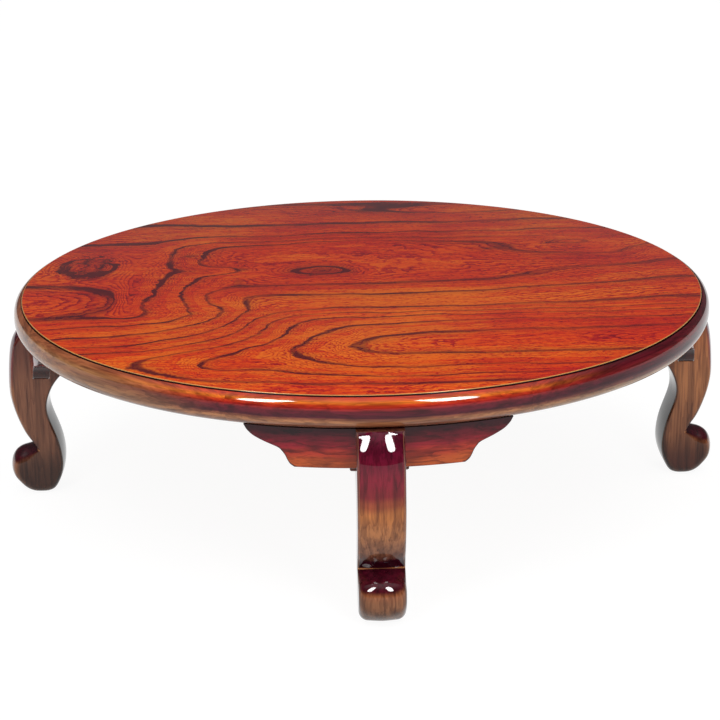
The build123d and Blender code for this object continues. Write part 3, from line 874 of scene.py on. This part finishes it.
# the front's stain from sole to rim, with painted light in it: the tan across the middle and the foot is
# partly painted reflection of the pale floor
LEG_STAIN_AND_LIGHT = shades(
    (0.0, 124, 84, 56), (0.05, 174, 114, 74), (0.085, 180, 110, 70), (0.115, 88, 18, 34),
    (0.24, 64, 10, 30),
    (0.28, 120, 74, 60), (0.36, 170, 112, 78), (0.52, 204, 132, 80), (0.66, 216, 132, 70),
    (0.73, 178, 84, 52), (0.79, 146, 36, 46), (0.87, 148, 26, 50), (1.0, 104, 14, 44),
)
# the legs' sides, browner than the front: stain, and partly painted reflection of the pale floor; the right
# leg's board is warmer
LEG_SIDE_STAIN_AND_SHEEN = shades((0.0, 84, 50, 36), (0.3, 158, 104, 76), (0.7, 162, 106, 78), (1.0, 126, 74, 58))
LEG_RIGHT_SIDE_STAIN_AND_SHEEN = shades(
    (0.0, 96, 48, 34), (0.2, 172, 110, 72), (0.6, 206, 134, 84), (1.0, 198, 122, 74)
)
# painted shade on the calf, the leg's inner face under the table
LEG_CALF_PAINTED_SHADE = shades((0.0, 30, 10, 14), (0.35, 40, 12, 18), (0.7, 88, 40, 36), (1.0, 60, 20, 26))
# the aprons' stain from lower edge to rim; its darkening towards the top is painted shade under the rim
APRON_STAIN_AND_SHADE = shades(
    (0.0, 204, 92, 38), (0.30, 194, 58, 38), (0.62, 156, 24, 42), (0.85, 110, 12, 32), (1.0, 62, 6, 22)
)


class Finishes:
    """Every material of the table, made once."""

    board: Material
    rim: Material
    leg: Material
    apron_x: Material
    apron_y: Material
    block: Material
    sheet: Material
    core: Material
    hinge: Material
    spring: Material
    screw: Material
    felt: Material

    def __init__(
        self, underside: float = 0.272, rim_top: float = 0.3185, apron_bottom: float = 0.216
    ) -> None:
        """Make them all.

        Args:
            underside: Height where the rim's and the legs' ramps of stain and painted light meet.
            rim_top: Height where the rim's ramp of stain and painted light ends.
            apron_bottom: Height where the aprons' ramp of stain and painted shade starts.
        """
        self.board = BoardLacquer().material()
        self.rim = RimLacquer(
            name="rim_lacquer",
            grain=Grain.ALONG_Y,
            shades=RIM_STAIN_AND_LIGHT,
            low=underside,
            high=rim_top,
            streaks=0.35,
            drift=0.005,
            left=RIM_LEFT_PAINTED_LIGHT,
            right=RIM_RIGHT_PAINTED_LIGHT,
        ).material()
        self.leg = LegLacquer(
            name="leg_lacquer",
            grain=Grain.UPRIGHT,
            shades=LEG_STAIN_AND_LIGHT,
            low=0.0,
            high=underside,
            streaks=0.35,
            sides=LEG_SIDE_STAIN_AND_SHEEN,
            right_sides=LEG_RIGHT_SIDE_STAIN_AND_SHEEN,
            calf_shade=LEG_CALF_PAINTED_SHADE,
        ).material()
        stain = (APRON_STAIN_AND_SHADE, apron_bottom, underside, 0.6)
        self.apron_x = ApronLacquer("apron_lacquer_x", Grain.ALONG_X, *stain).material()
        self.apron_y = ApronLacquer("apron_lacquer_y", Grain.ALONG_Y, *stain).material()
        block = BareWood("block_wood", tone(124, 66, 44), tone(84, 40, 32), Grain.UPRIGHT, 0.45)
        back = BareWood("sheet_wood", tone(186, 140, 92), tone(150, 104, 64), Grain.ALONG_X, 0.6)
        core = BareWood("core_wood", tone(214, 180, 132), tone(184, 142, 94), Grain.ALONG_X, 0.75)
        self.block, self.sheet, self.core = (wood.material() for wood in (block, back, core))
        hinge = PlatedSteel("hinge_steel", tone(206, 200, 186), tone(164, 158, 144), 0.38)
        spring = PlatedSteel("spring_steel", tone(92, 98, 118), tone(60, 60, 70), 0.32)
        screw = PlatedSteel("screw_steel", tone(222, 200, 140), tone(176, 150, 96), 0.35)
        self.hinge, self.spring, self.screw = (steel.material() for steel in (hinge, spring, screw))
        self.felt = PressedFelt().material()


def dress(node: str, finish: Material) -> None:
    """Give a node of the frame its finish."""
    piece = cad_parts[node]
    piece.data.materials.clear()
    piece.data.materials.append(finish)


def settle(piece: Piece, body: str, slot: str, finish: Material, *nodes: str) -> None:
    """Dress a new piece and let it ride in place of the nodes that it stands for."""
    piece.data.materials.append(finish)
    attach(piece, body)
    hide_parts(*nodes)
    log.info("%s: %d points on %s", piece.name, len(piece.data.vertices), body)


# ---------------------------------------------------------------- the top
@dataclass
class Top:
    """The lacquered board, the rim round it and what is under them."""

    height: float = 0.320
    radius: float = 0.525
    thick: float = 0.0485
    board_radius: float = 0.5126
    board_thick: float = 0.0055
    arris: float = 0.0008
    widest_drop: float = 0.023
    crown_in: float = 0.0088
    crown_drop: float = 0.0026
    belly_run: float = 0.027
    rim_inner: float = 0.485
    sheet_lap: float = 0.005
    sheet_thick: float = 0.003
    groove_width: float = 0.0008
    segments: int = 8
    around: int = 384
    joint_gap: float = 0.00004

    def board(self) -> Piece:
        """The round board, its upper edge eased."""
        lip = (self.board_radius - self.arris, self.height - self.arris)
        section = [
            (0.0, self.height - self.board_thick),
            (self.board_radius, self.height - self.board_thick),
            *arc(lip, self.arris, self.arris, 0, 90, 5),
            (self.board_radius * 0.5, self.height),
            (0.0, self.height),
        ]
        rings = section[1:-1]
        turns = [math.tau * spot / self.around for spot in range(self.around)]
        verts = [polar(reach, turn, level) for reach, level in rings for turn in turns]
        faces = turned_faces(len(rings), self.around, closed=False)
        for reach, level, ring in ((0.0, section[0][1], 0), (0.0, section[-1][1], len(rings) - 1)):
            verts.append(Vector((reach, 0.0, level)))
            start = ring * self.around
            for spot in range(self.around):
                edge = (start + spot, start + (spot + 1) % self.around)
                faces.append((len(verts) - 1, *(edge[::-1] if ring == 0 else edge)))
        piece = make_piece("board", verts, faces)
        sharpen(piece, 40)
        return piece

    def rim_section(self) -> list[Point]:
        """The rim's closed outline: reach and height, from its belly round to its rebate."""
        widest = self.height - self.widest_drop
        under = self.height - self.thick
        belly = arc((self.radius - self.belly_run, widest), self.belly_run, widest - under, -90, 0, 20)
        wall = self.board_radius + self.groove_width
        shoulder = bend(
            [
                (self.radius, widest),
                (self.radius - 0.0007, widest + 0.0085),
                (self.radius - 0.0036, widest + 0.0158),
                (self.radius - self.crown_in, self.height - self.crown_drop),
                (wall, self.height - self.crown_drop - 0.0004),
                (wall, self.height - self.board_thick),
            ],
            6,
        )
        inner = [
            (self.rim_inner, self.height - self.board_thick),
            (self.rim_inner, under + self.sheet_thick),
            (self.rim_inner + self.sheet_lap, under + self.sheet_thick),
            (self.rim_inner + self.sheet_lap, under),
        ]
        return belly + shoulder[1:] + inner

    def rim_segment(self, number: int) -> Piece:
        """One sawn segment of the rim, counted from 1."""
        section = self.rim_section()
        steps = self.around // self.segments
        arc_angle = math.tau / self.segments
        start = arc_angle * (number - 1.5) + self.joint_gap / self.radius
        stop = arc_angle * (number - 0.5) - self.joint_gap / self.radius
        verts = []
        for step in range(steps + 1):
            turn = start + (stop - start) * step / steps
            verts += [polar(reach, turn, level) for reach, level in section]
        count = len(section)
        faces = [face[::-1] for face in turned_faces(steps + 1, count, closed=False)]
        faces.append(tuple(range(count)))
        faces.append(tuple(reversed(range(steps * count, (steps + 1) * count))))
        piece = make_piece(f"rim_{number}", verts, faces)
        sharpen(piece, 50)
        return piece

    def build(self, finishes: Finishes) -> None:
        """Make and dress the top."""
        settle(self.board(), "top", "panel_wood", finishes.board, "top_panel")
        for number in range(1, self.segments + 1):
            settle(self.rim_segment(number), "top", "rim_wood", finishes.rim, f"rim_segment_{number}")
        dress("core_frame", finishes.core)
        dress("back_sheet", finishes.sheet)


# ---------------------------------------------------------------- the legs
@dataclass
class Station:
    """One point of the leg's side outline, with how the face is rounded across the leg there.

    Attributes:
        spot: Reach and height of the point.
        crown: How much lower the face lies at the side than in the middle.
        edge: Radius of the rounding between face and side.
        arris: How much painted highlight lies across the whole face, from 0 to 1.
        plain: Whether the rounded edge is left without a painted highlight.
    """

    spot: Vector
    crown: float = 0.0
    edge: float = 0.0006
    arris: float = 0.0
    plain: bool = False


@dataclass
class Leg:
    """A cabriole leg: a crowned shin over a ball-like foot, sawn from thick board."""

    side: Side
    half: float = 0.032
    flat_steps: int = 6
    edge_steps: int = 7
    pitch: float = 0.0022
    apron_outer: float = 0.5061
    apron_inner: float = 0.482
    horn: float = 0.2712
    apron_bottom: float = 0.216
    block_bottom: float = 0.202
    block_inner: float = 0.4495
    sole: float = 0.0011
    notch: Point = (0.5062, 0.0735)
    tuck: float = 0.0004
    horn_step: float = 0.0012
    shin_crown: float = 0.0075
    shin_edge: float = 0.0046
    run_out: int = 7
    toe_crown: float = 0.0045
    toe_edge: float = 0.0024
    toe_swell: float = 0.0056
    toe_rise: int = 9
    sole_start: float = 0.72
    sole_run: float = 0.28
    sole_steps: int = 10
    sole_edge: float = 0.0128
    calf_crown: float = 0.0015
    calf_edge: float = 0.0042
    heel_swell: float = 0.0080
    least_edge: float = 0.0006
    loose_edge: float = 0.001
    sawn_edge: float = 0.002
    # painted highlight down the sawn edges: how strong, and on which row of the rounding
    edge_glint: float = 0.8
    glint_step: int = 2

    def shin(self) -> list[Point]:
        """The outline in front, from the rim down to the notch over the foot."""
        return [
            (0.5185, self.horn),
            (0.5272, 0.2600), (0.5343, 0.2475), (0.5383, 0.2340), (0.5412, 0.2140), (0.5432, 0.1890),
            (0.5438, 0.1650), (0.5412, 0.1455), (0.5364, 0.1270), (0.5295, 0.1080), (0.5210, 0.0905),
            (0.5095, 0.0765),
            self.notch,
        ]

    def toe(self) -> list[Point]:
        """The outline from the notch over the instep and toe to the sole."""
        return [
            self.notch,
            (0.5190, 0.0712), (0.5315, 0.0684), (0.5404, 0.0630), (0.5459, 0.0545), (0.5481, 0.0440),
            (0.5478, 0.0335), (0.5444, 0.0232), (0.5374, 0.0146), (0.5268, 0.0064),
            (0.5120, self.sole),
        ]

    def calf(self) -> list[Point]:
        """The outline behind, from the sole round the heel and up to the block."""
        return [
            (0.4890, self.sole),
            (0.4815, 0.0040), (0.4735, 0.0175), (0.4676, 0.0320), (0.4652, 0.0480), (0.4662, 0.0660),
            (0.4698, 0.0850), (0.4752, 0.1020), (0.4810, 0.1185), (0.4850, 0.1345), (0.4846, 0.1480),
            (0.4808, 0.1610), (0.4745, 0.1745), (0.4640, 0.1885),
            (self.block_inner + self.tuck, self.block_bottom - self.tuck),
        ]

    def spaced(self, knots: Sequence[Point]) -> list[Vector]:
        """A smooth line through the knots, cut into even steps."""
        dense = [Vector(spot) for spot in bend(knots, 24)]
        length = sum((b - a).length for a, b in zip(dense, dense[1:]))
        count = max(2, round(length / self.pitch))
        spots, walked, mark = [dense[0]], 0.0, 1
        for before, after in zip(dense, dense[1:]):
            step = (after - before).length
            while mark < count and walked + step >= length * mark / count:
                share = (length * mark / count - walked) / step
                spots.append(before.lerp(after, share))
                mark += 1
            walked += step
        spots.append(dense[-1])
        return spots

    def outline(self) -> list[Station]:
        """Stations round the leg's side, in the order shin, toe, sole, heel, calf, block and apron."""
        stations = []
        shin = self.spaced(self.shin())
        for number, spot in enumerate(shin[:-1]):
            fall = ease((len(shin) - 1 - number) / self.run_out)
            crown = self.shin_crown * (0.6 + 0.4 * fall)
            stations.append(Station(spot, crown, self.shin_edge * (0.5 + 0.5 * fall)))
        toe = self.spaced(self.toe())
        for number, spot in enumerate(toe):
            share = number / (len(toe) - 1)
            rise = ease(number / self.toe_rise)
            under = ease(max(0.0, share - self.sole_start) / self.sole_run)
            crown = (self.toe_crown + self.toe_crown * rise) * (1.0 - under)
            edge = self.toe_edge + self.toe_swell * rise * (1.0 + 0.85 * under)
            stations.append(Station(spot, crown, edge, arris=1.0 if number == 0 else 0.0, plain=True))
        gap = Vector(self.calf()[0]) - Vector(self.toe()[-1])
        for number in range(1, self.sole_steps):
            spot = Vector(self.toe()[-1]) + gap * number / self.sole_steps
            stations.append(Station(spot, 0.0, self.sole_edge, plain=True))
        calf = self.spaced(self.calf())
        for number, spot in enumerate(calf):
            share = number / (len(calf) - 1)
            close = ease((len(calf) - 1 - number) / self.run_out)
            edge = (self.calf_edge + self.heel_swell * ease(1 - share * 3)) * close + self.least_edge
            stations.append(Station(spot, self.calf_crown * close, edge))
        stations += [
            Station(Vector((self.apron_inner, self.block_bottom))),
            Station(Vector((self.apron_inner, self.apron_bottom))),
            Station(Vector((self.apron_outer, self.apron_bottom))),
            Station(Vector((self.apron_outer, self.horn))),
            Station(Vector((self.shin()[0][0] - self.horn_step, self.horn))),
        ]
        return stations

    def inward(self, spots: Sequence[Vector]) -> list[Vector]:
        """Unit vectors into the wood at each spot of a closed outline."""
        result = []
        for number, here in enumerate(spots):
            before, after = spots[number - 1], spots[(number + 1) % len(spots)]
            along = (here - before).normalized() + (after - here).normalized()
            along.normalize()
            result.append(Vector((along.y, -along.x)))
        return result

    def relaxed(
        self, spots: Sequence[Vector], stations: Sequence[Station], rounds: int = 3, share: float = 0.3
    ) -> list[Vector]:
        """The same outline with its spots evened out along it, the sharp corners kept.

        Args:
            spots: The outline's spots.
            stations: Their stations.
            rounds: How many times the spots are evened out.
            share: How far a spot moves each time towards the middle of its neighbours.

        Returns:
            The new spots.
        """
        result = list(spots)
        for _ in range(rounds):
            held = list(result)
            for number, station in enumerate(stations):
                if station.edge > self.loose_edge and not station.arris:
                    near = (held[number - 1] + held[(number + 1) % len(held)]) / 2
                    result[number] = held[number].lerp(near, share)
        return result

    def rows(self, stations: Sequence[Station]) -> list[list[tuple[Vector, float]]]:
        """Rows of spots from the middle of the leg out to its side, each with its distance aside."""
        spots = [station.spot.copy() for station in stations]
        depths = [0.0] * len(stations)
        rows = []
        for step in range(self.flat_steps + self.edge_steps + 1):
            turn = math.pi / 2 * max(0, step - self.flat_steps) / self.edge_steps
            into = self.inward(spots)
            row = []
            for number, station in enumerate(stations):
                flat = self.half - station.edge
                aside = flat * min(1.0, step / self.flat_steps) + station.edge * math.sin(turn)
                depth = station.edge * (1 - math.cos(turn)) + station.crown * (aside / self.half) ** 2
                spots[number] = spots[number] + into[number] * (depth - depths[number])
                depths[number] = depth
                row.append(aside)
            spots = self.relaxed(spots, stations) if step else spots
            rows.append([(spot.copy(), aside) for spot, aside in zip(spots, row)])
        return rows

    def sideways(self, station: Station, step: int) -> float:
        """How far round to the side a spot is: 1 where the edge starts and 2 on the side itself."""
        if station.edge < self.sawn_edge:
            return 2.0
        if step < self.flat_steps:
            return step / self.flat_steps
        return 1 + (step - self.flat_steps) / self.edge_steps

    def glint(self, station: Station, step: int) -> float:
        """How much painted highlight lies along the notch's lip and down the sawn edges."""
        if step == self.flat_steps + self.edge_steps:
            return 0.0
        on_edge = step == self.flat_steps + self.glint_step and station.edge > self.sawn_edge
        return max(station.arris, self.edge_glint if on_edge and not station.plain else 0.0)

    def mesh(self) -> Piece:
        """The leg as one closed mesh, with its painted highlights written on its points."""
        stations = self.outline()
        half_rows = self.rows(stations)
        count = len(stations)
        rows = [[(spot, -aside) for spot, aside in row] for row in reversed(half_rows[1:])] + half_rows
        verts = [self.side.place(spot.x, spot.y, aside) for row in rows for spot, aside in row]
        middle = len(half_rows) - 1
        across, painted_glint = [], []
        for number in range(len(rows)):
            step = abs(number - middle)
            across += [self.sideways(station, step) for station in stations]
            painted_glint += [self.glint(station, step) for station in stations]
        faces = turned_faces(len(rows), count, closed=False)
        faces.append(tuple(reversed(range(count))))
        faces.append(tuple(range((len(rows) - 1) * count, len(rows) * count)))
        piece = make_piece(f"cabriole_leg_{self.side.word}", verts, faces)
        for layer_name, values in ((ACROSS, across), (EDGE_GLINT, painted_glint)):
            layer = piece.data.attributes.new(layer_name, "FLOAT", "POINT")
            layer.data.foreach_set("value", values)
        sharpen(piece, 38)
        even = piece.modifiers.new("even_sides", "WEIGHTED_NORMAL")
        even.keep_sharp = True
        even.weight = 80
        return piece


@dataclass
class Apron:
    """A board sawn to the rim's curve, with an ogee at each end of its lower edge."""

    side: Side
    outer: float = 0.506
    thick: float = 0.024
    top: float = 0.2712
    easing: float = 0.0016
    wall: tuple[float, float] = (0.1115, 0.1345)
    foot_half: float = 0.1120
    bottom: float = 0.2160
    foot_steps: int = 24
    columns: int = 6

    def lower_edge(self) -> list[Point]:
        """Half of the lower edge: distance aside and height, from the middle out."""
        ogee = bend(
            [
                (self.foot_half, self.bottom),
                (0.1175, 0.2200), (0.1210, 0.2255), (0.1240, 0.2320), (0.1280, 0.2375),
                (0.1330, 0.2420), (0.1480, 0.2480), (0.1580, 0.2524), (0.1665, 0.2572),
                (0.1735, 0.2640), (0.1770, 0.2704),
            ],
            self.columns,
        )
        foot = [(self.foot_half * step / self.foot_steps, self.bottom) for step in range(self.foot_steps)]
        return foot + ogee

    def mesh(self) -> Piece:
        """The apron as one closed mesh."""
        half = self.lower_edge()
        columns = [(-aside, height) for aside, height in reversed(half[1:])] + half
        mid = self.outer - self.thick / 2
        verts, ends = [], []
        ring = 0
        for aside, low in columns:
            eased = min(self.easing, (self.top - low) / 2)
            inner, outer = -self.thick / 2, self.thick / 2
            section = [(inner, self.top), (outer, self.top)]
            straight = self.top - low - eased
            section += [(outer, low + eased + straight * share) for share in (0.66, 0.33, 0.04)]
            section += arc((outer - eased, low + eased), eased, eased, 0, -90, 4)
            section += arc((inner + eased, low + eased), eased, eased, -90, -180, 4)
            ring = len(section)
            # the ogee's underside, coloured as painted shade
            end_shade = self.wall[0] < abs(aside) < self.wall[1]
            ends += [1.0 if end_shade and height < low + eased * 1.01 else 0.0 for _, height in section]
            for off, height in section:
                reach = math.sqrt((mid + off) ** 2 - aside**2)
                verts.append(self.side.place(reach, height, aside))
        faces = turned_faces(len(columns), ring, closed=False)
        faces.append(tuple(reversed(range(ring))))
        faces.append(tuple(range((len(columns) - 1) * ring, len(columns) * ring)))
        piece = make_piece(f"curved_apron_{self.side.word}", verts, faces)
        piece.data.attributes.new(END_SHADE, "FLOAT", "POINT").data.foreach_set("value", ends)
        sharpen(piece, 35)
        return piece


@dataclass
class FoldingLeg:
    """One leg with its apron, block and hinge."""

    side: Side

    def build(self, finishes: Finishes) -> None:
        """Make and dress all that belongs to this leg."""
        word, body = self.side.word, self.side.body
        settle(Leg(self.side).mesh(), body, "leg_wood", finishes.leg, f"leg_{word}")
        along_x = self.side in (Side.FRONT, Side.BACK)
        apron_finish = finishes.apron_x if along_x else finishes.apron_y
        settle(Apron(self.side).mesh(), body, "apron_wood", apron_finish, f"apron_{word}")
        dress(f"corner_block_{word}", finishes.block)
        dress(f"foot_pad_{word}", finishes.felt)
        for name in ("hinge_base", "hinge_pin", "leg_bracket", "spring_rivets"):
            dress(f"{name}_{word}", finishes.hinge)
        dress(f"click_spring_{word}", finishes.spring)
        for name in ("base_screws", "bracket_screws", "block_screws"):
            dress(f"{name}_{word}", finishes.screw)


# ---------------------------------------------------------------- the studio
@dataclass
class Studio:
    """Pale floor, two tall soft boxes beside the camera, and a dim room above."""

    floor_radius: float = 30.0
    box_glow: float = 4.6
    card_glow: float = 45.0
    box_distance: float = 2.4
    box_height: float = 2.05
    box_aim: tuple[float, float, float] = (0.0, -0.5, 0.28)
    card_trim: float = 0.57
    card_fade: float = 0.55
    floor_sides: int = 64
    floor_lit: float = 0.62
    floor_seen: float = 0.14
    floor_glow: float = 0.93

    def floor(self) -> None:
        """A wide pale floor that shows white, keeps the table's shadow and is clear from below."""
        turns = [math.tau * spot / self.floor_sides for spot in range(self.floor_sides)]
        verts = [polar(self.floor_radius, turn, 0.0) for turn in turns]
        piece = make_piece("studio_floor", verts, [tuple(range(self.floor_sides))])
        sheet = Sheet("pale_floor")
        path = sheet.add("ShaderNodeLightPath")
        seen = sheet.math("MAXIMUM", path.outputs["Is Camera Ray"], path.outputs["Is Glossy Ray"])
        seen = sheet.math("MAXIMUM", seen, path.outputs["Is Transmission Ray"])
        matt = sheet.add("ShaderNodeBsdfDiffuse")
        sheet.put(matt.inputs["Color"], sheet.mix(seen, grey(self.floor_lit), grey(self.floor_seen)))
        glow = sheet.add("ShaderNodeEmission")
        sheet.put(glow.inputs["Color"], grey(1.0))
        sheet.put(glow.inputs["Strength"], sheet.times(seen, self.floor_glow))
        both = sheet.add("ShaderNodeAddShader")
        sheet.put(both.inputs[0], matt.outputs[0])
        sheet.put(both.inputs[1], glow.outputs[0])
        clear = sheet.add("ShaderNodeMixShader")
        sheet.put(clear.inputs[0], sheet.add("ShaderNodeNewGeometry").outputs["Backfacing"])
        sheet.put(clear.inputs[1], both.outputs[0])
        sheet.put(clear.inputs[2], sheet.add("ShaderNodeBsdfTransparent").outputs[0])
        piece.data.materials.append(sheet.close(clear.outputs[0]))

    def soft_box(self, name: str, azimuth: float, elevation: float, width: float) -> None:
        """A tall soft box that faces the table: a lamp for its light and a card for its reflection.

        Args:
            name: The lamp's name.
            azimuth: Degrees round from straight in front, to the right.
            elevation: Degrees above the floor.
            width: Width in metres.
        """
        turn, lift = math.radians(azimuth), math.radians(elevation)
        aim = Vector((math.sin(turn) * math.cos(lift), -math.cos(turn) * math.cos(lift), math.sin(lift)))
        spot = aim * self.box_distance + Vector(self.box_aim)
        facing = aim.to_track_quat("Z", "Y").to_euler()
        lamp = bpy.data.lights.new(name, "AREA")
        lamp.shape = "RECTANGLE"
        lamp.size = width
        lamp.size_y = self.box_height
        lamp.energy = self.box_glow * math.pi * width * self.box_height
        piece = bpy.data.objects.new(name, lamp)
        piece.location = spot
        piece.rotation_euler = facing
        piece.visible_glossy = False
        bpy.context.scene.collection.objects.link(piece)
        sheet = Sheet(f"{name}_glow")
        glow = sheet.add("ShaderNodeEmission")
        across, up, _ = sheet.parts(sheet.place)
        x, y = width / 2, (self.box_height - self.card_trim) / 2
        rise = self.card_trim / 2
        shares = (sheet.math("DIVIDE", across, x), sheet.math("DIVIDE", sheet.less(up, rise), y))
        cubes = (sheet.math("POWER", sheet.math("ABSOLUTE", share), 3.0) for share in shares)
        fade = sheet.span(sheet.plus(*cubes), self.card_fade, 1.0, self.card_glow, 0.0)
        sheet.put(glow.inputs["Strength"], fade)
        low, high = rise - y, rise + y
        corners = ((-x, low), (x, low), (x, high), (-x, high))
        card = make_piece(f"{name}_card", [Vector((*corner, 0.0)) for corner in corners], [(0, 1, 2, 3)])
        card.location = spot
        card.rotation_euler = facing
        card.visible_camera = False
        card.visible_diffuse = False
        card.visible_shadow = False
        card.data.materials.append(sheet.close(glow.outputs[0]))

    def room(self) -> None:
        """Light from the room: dim near the floor, brighter overhead."""
        world = bpy.data.worlds.new("room")
        bpy.context.scene.world = world
        world.use_nodes = True
        nodes, links = world.node_tree.nodes, world.node_tree.links
        nodes.clear()
        coord = nodes.new("ShaderNodeTexCoord")
        split = nodes.new("ShaderNodeSeparateXYZ")
        links.new(coord.outputs["Generated"], split.inputs[0])
        ramp = nodes.new("ShaderNodeValToRGB")
        levels = greys(
            (0.0, 0.12), (0.2, 0.12), (0.4, 0.08), (0.6, 0.13), (0.72, 0.3), (0.86, 1.0), (1.0, 1.3)
        )
        set_stops(ramp.color_ramp, levels)
        links.new(split.outputs[2], ramp.inputs[0])
        back = nodes.new("ShaderNodeBackground")
        links.new(ramp.outputs[0], back.inputs["Color"])
        back.inputs["Strength"].default_value = 1.0
        end = nodes.new("ShaderNodeOutputWorld")
        links.new(back.outputs[0], end.inputs["Surface"])

    def build(self) -> None:
        """Lay the floor and hang the lamps."""
        self.floor()
        self.soft_box("left_soft_box", -42.0, 34.0, 0.60)
        self.soft_box("right_soft_box", 30.5, 34.0, 0.74)
        self.room()


@dataclass
class Camera:
    """A camera a little above the table, in front and slightly to the left."""

    place: tuple[float, float, float] = (-0.1267, -2.9143, 1.1791)
    target: tuple[float, float, float] = (0.0, 0.0, 0.200)
    focal_px: float = 1990.3
    centre_px: tuple[float, float] = (362.2, 356.6)
    roll: float = -0.76

    def build(self) -> None:
        """Set the camera up and make it the scene's own."""
        lens = bpy.data.cameras.new("camera")
        lens.sensor_width = SENSOR_WIDTH
        lens.lens = self.focal_px / PICTURE_SIDE * SENSOR_WIDTH
        lens.shift_x = (PICTURE_SIDE / 2 - self.centre_px[0]) / PICTURE_SIDE
        lens.shift_y = (self.centre_px[1] - PICTURE_SIDE / 2) / PICTURE_SIDE
        piece = bpy.data.objects.new("camera", lens)
        piece.location = self.place
        look = Vector(self.target) - Vector(self.place)
        turn = look.to_track_quat("-Z", "Y").to_euler()
        turn.rotate_axis("Z", math.radians(self.roll))
        piece.rotation_euler = turn
        bpy.context.scene.collection.objects.link(piece)
        bpy.context.scene.camera = piece


def main() -> None:
    """Build the table, then the studio round it."""
    logging.basicConfig(level=logging.INFO)
    finishes = Finishes()
    Top().build(finishes)
    for side in Side:
        FoldingLeg(side).build(finishes)
    Studio().build()
    Camera().build()
    bpy.context.scene.view_settings.view_transform = "Standard"


if __name__ == "__main__":
    main()
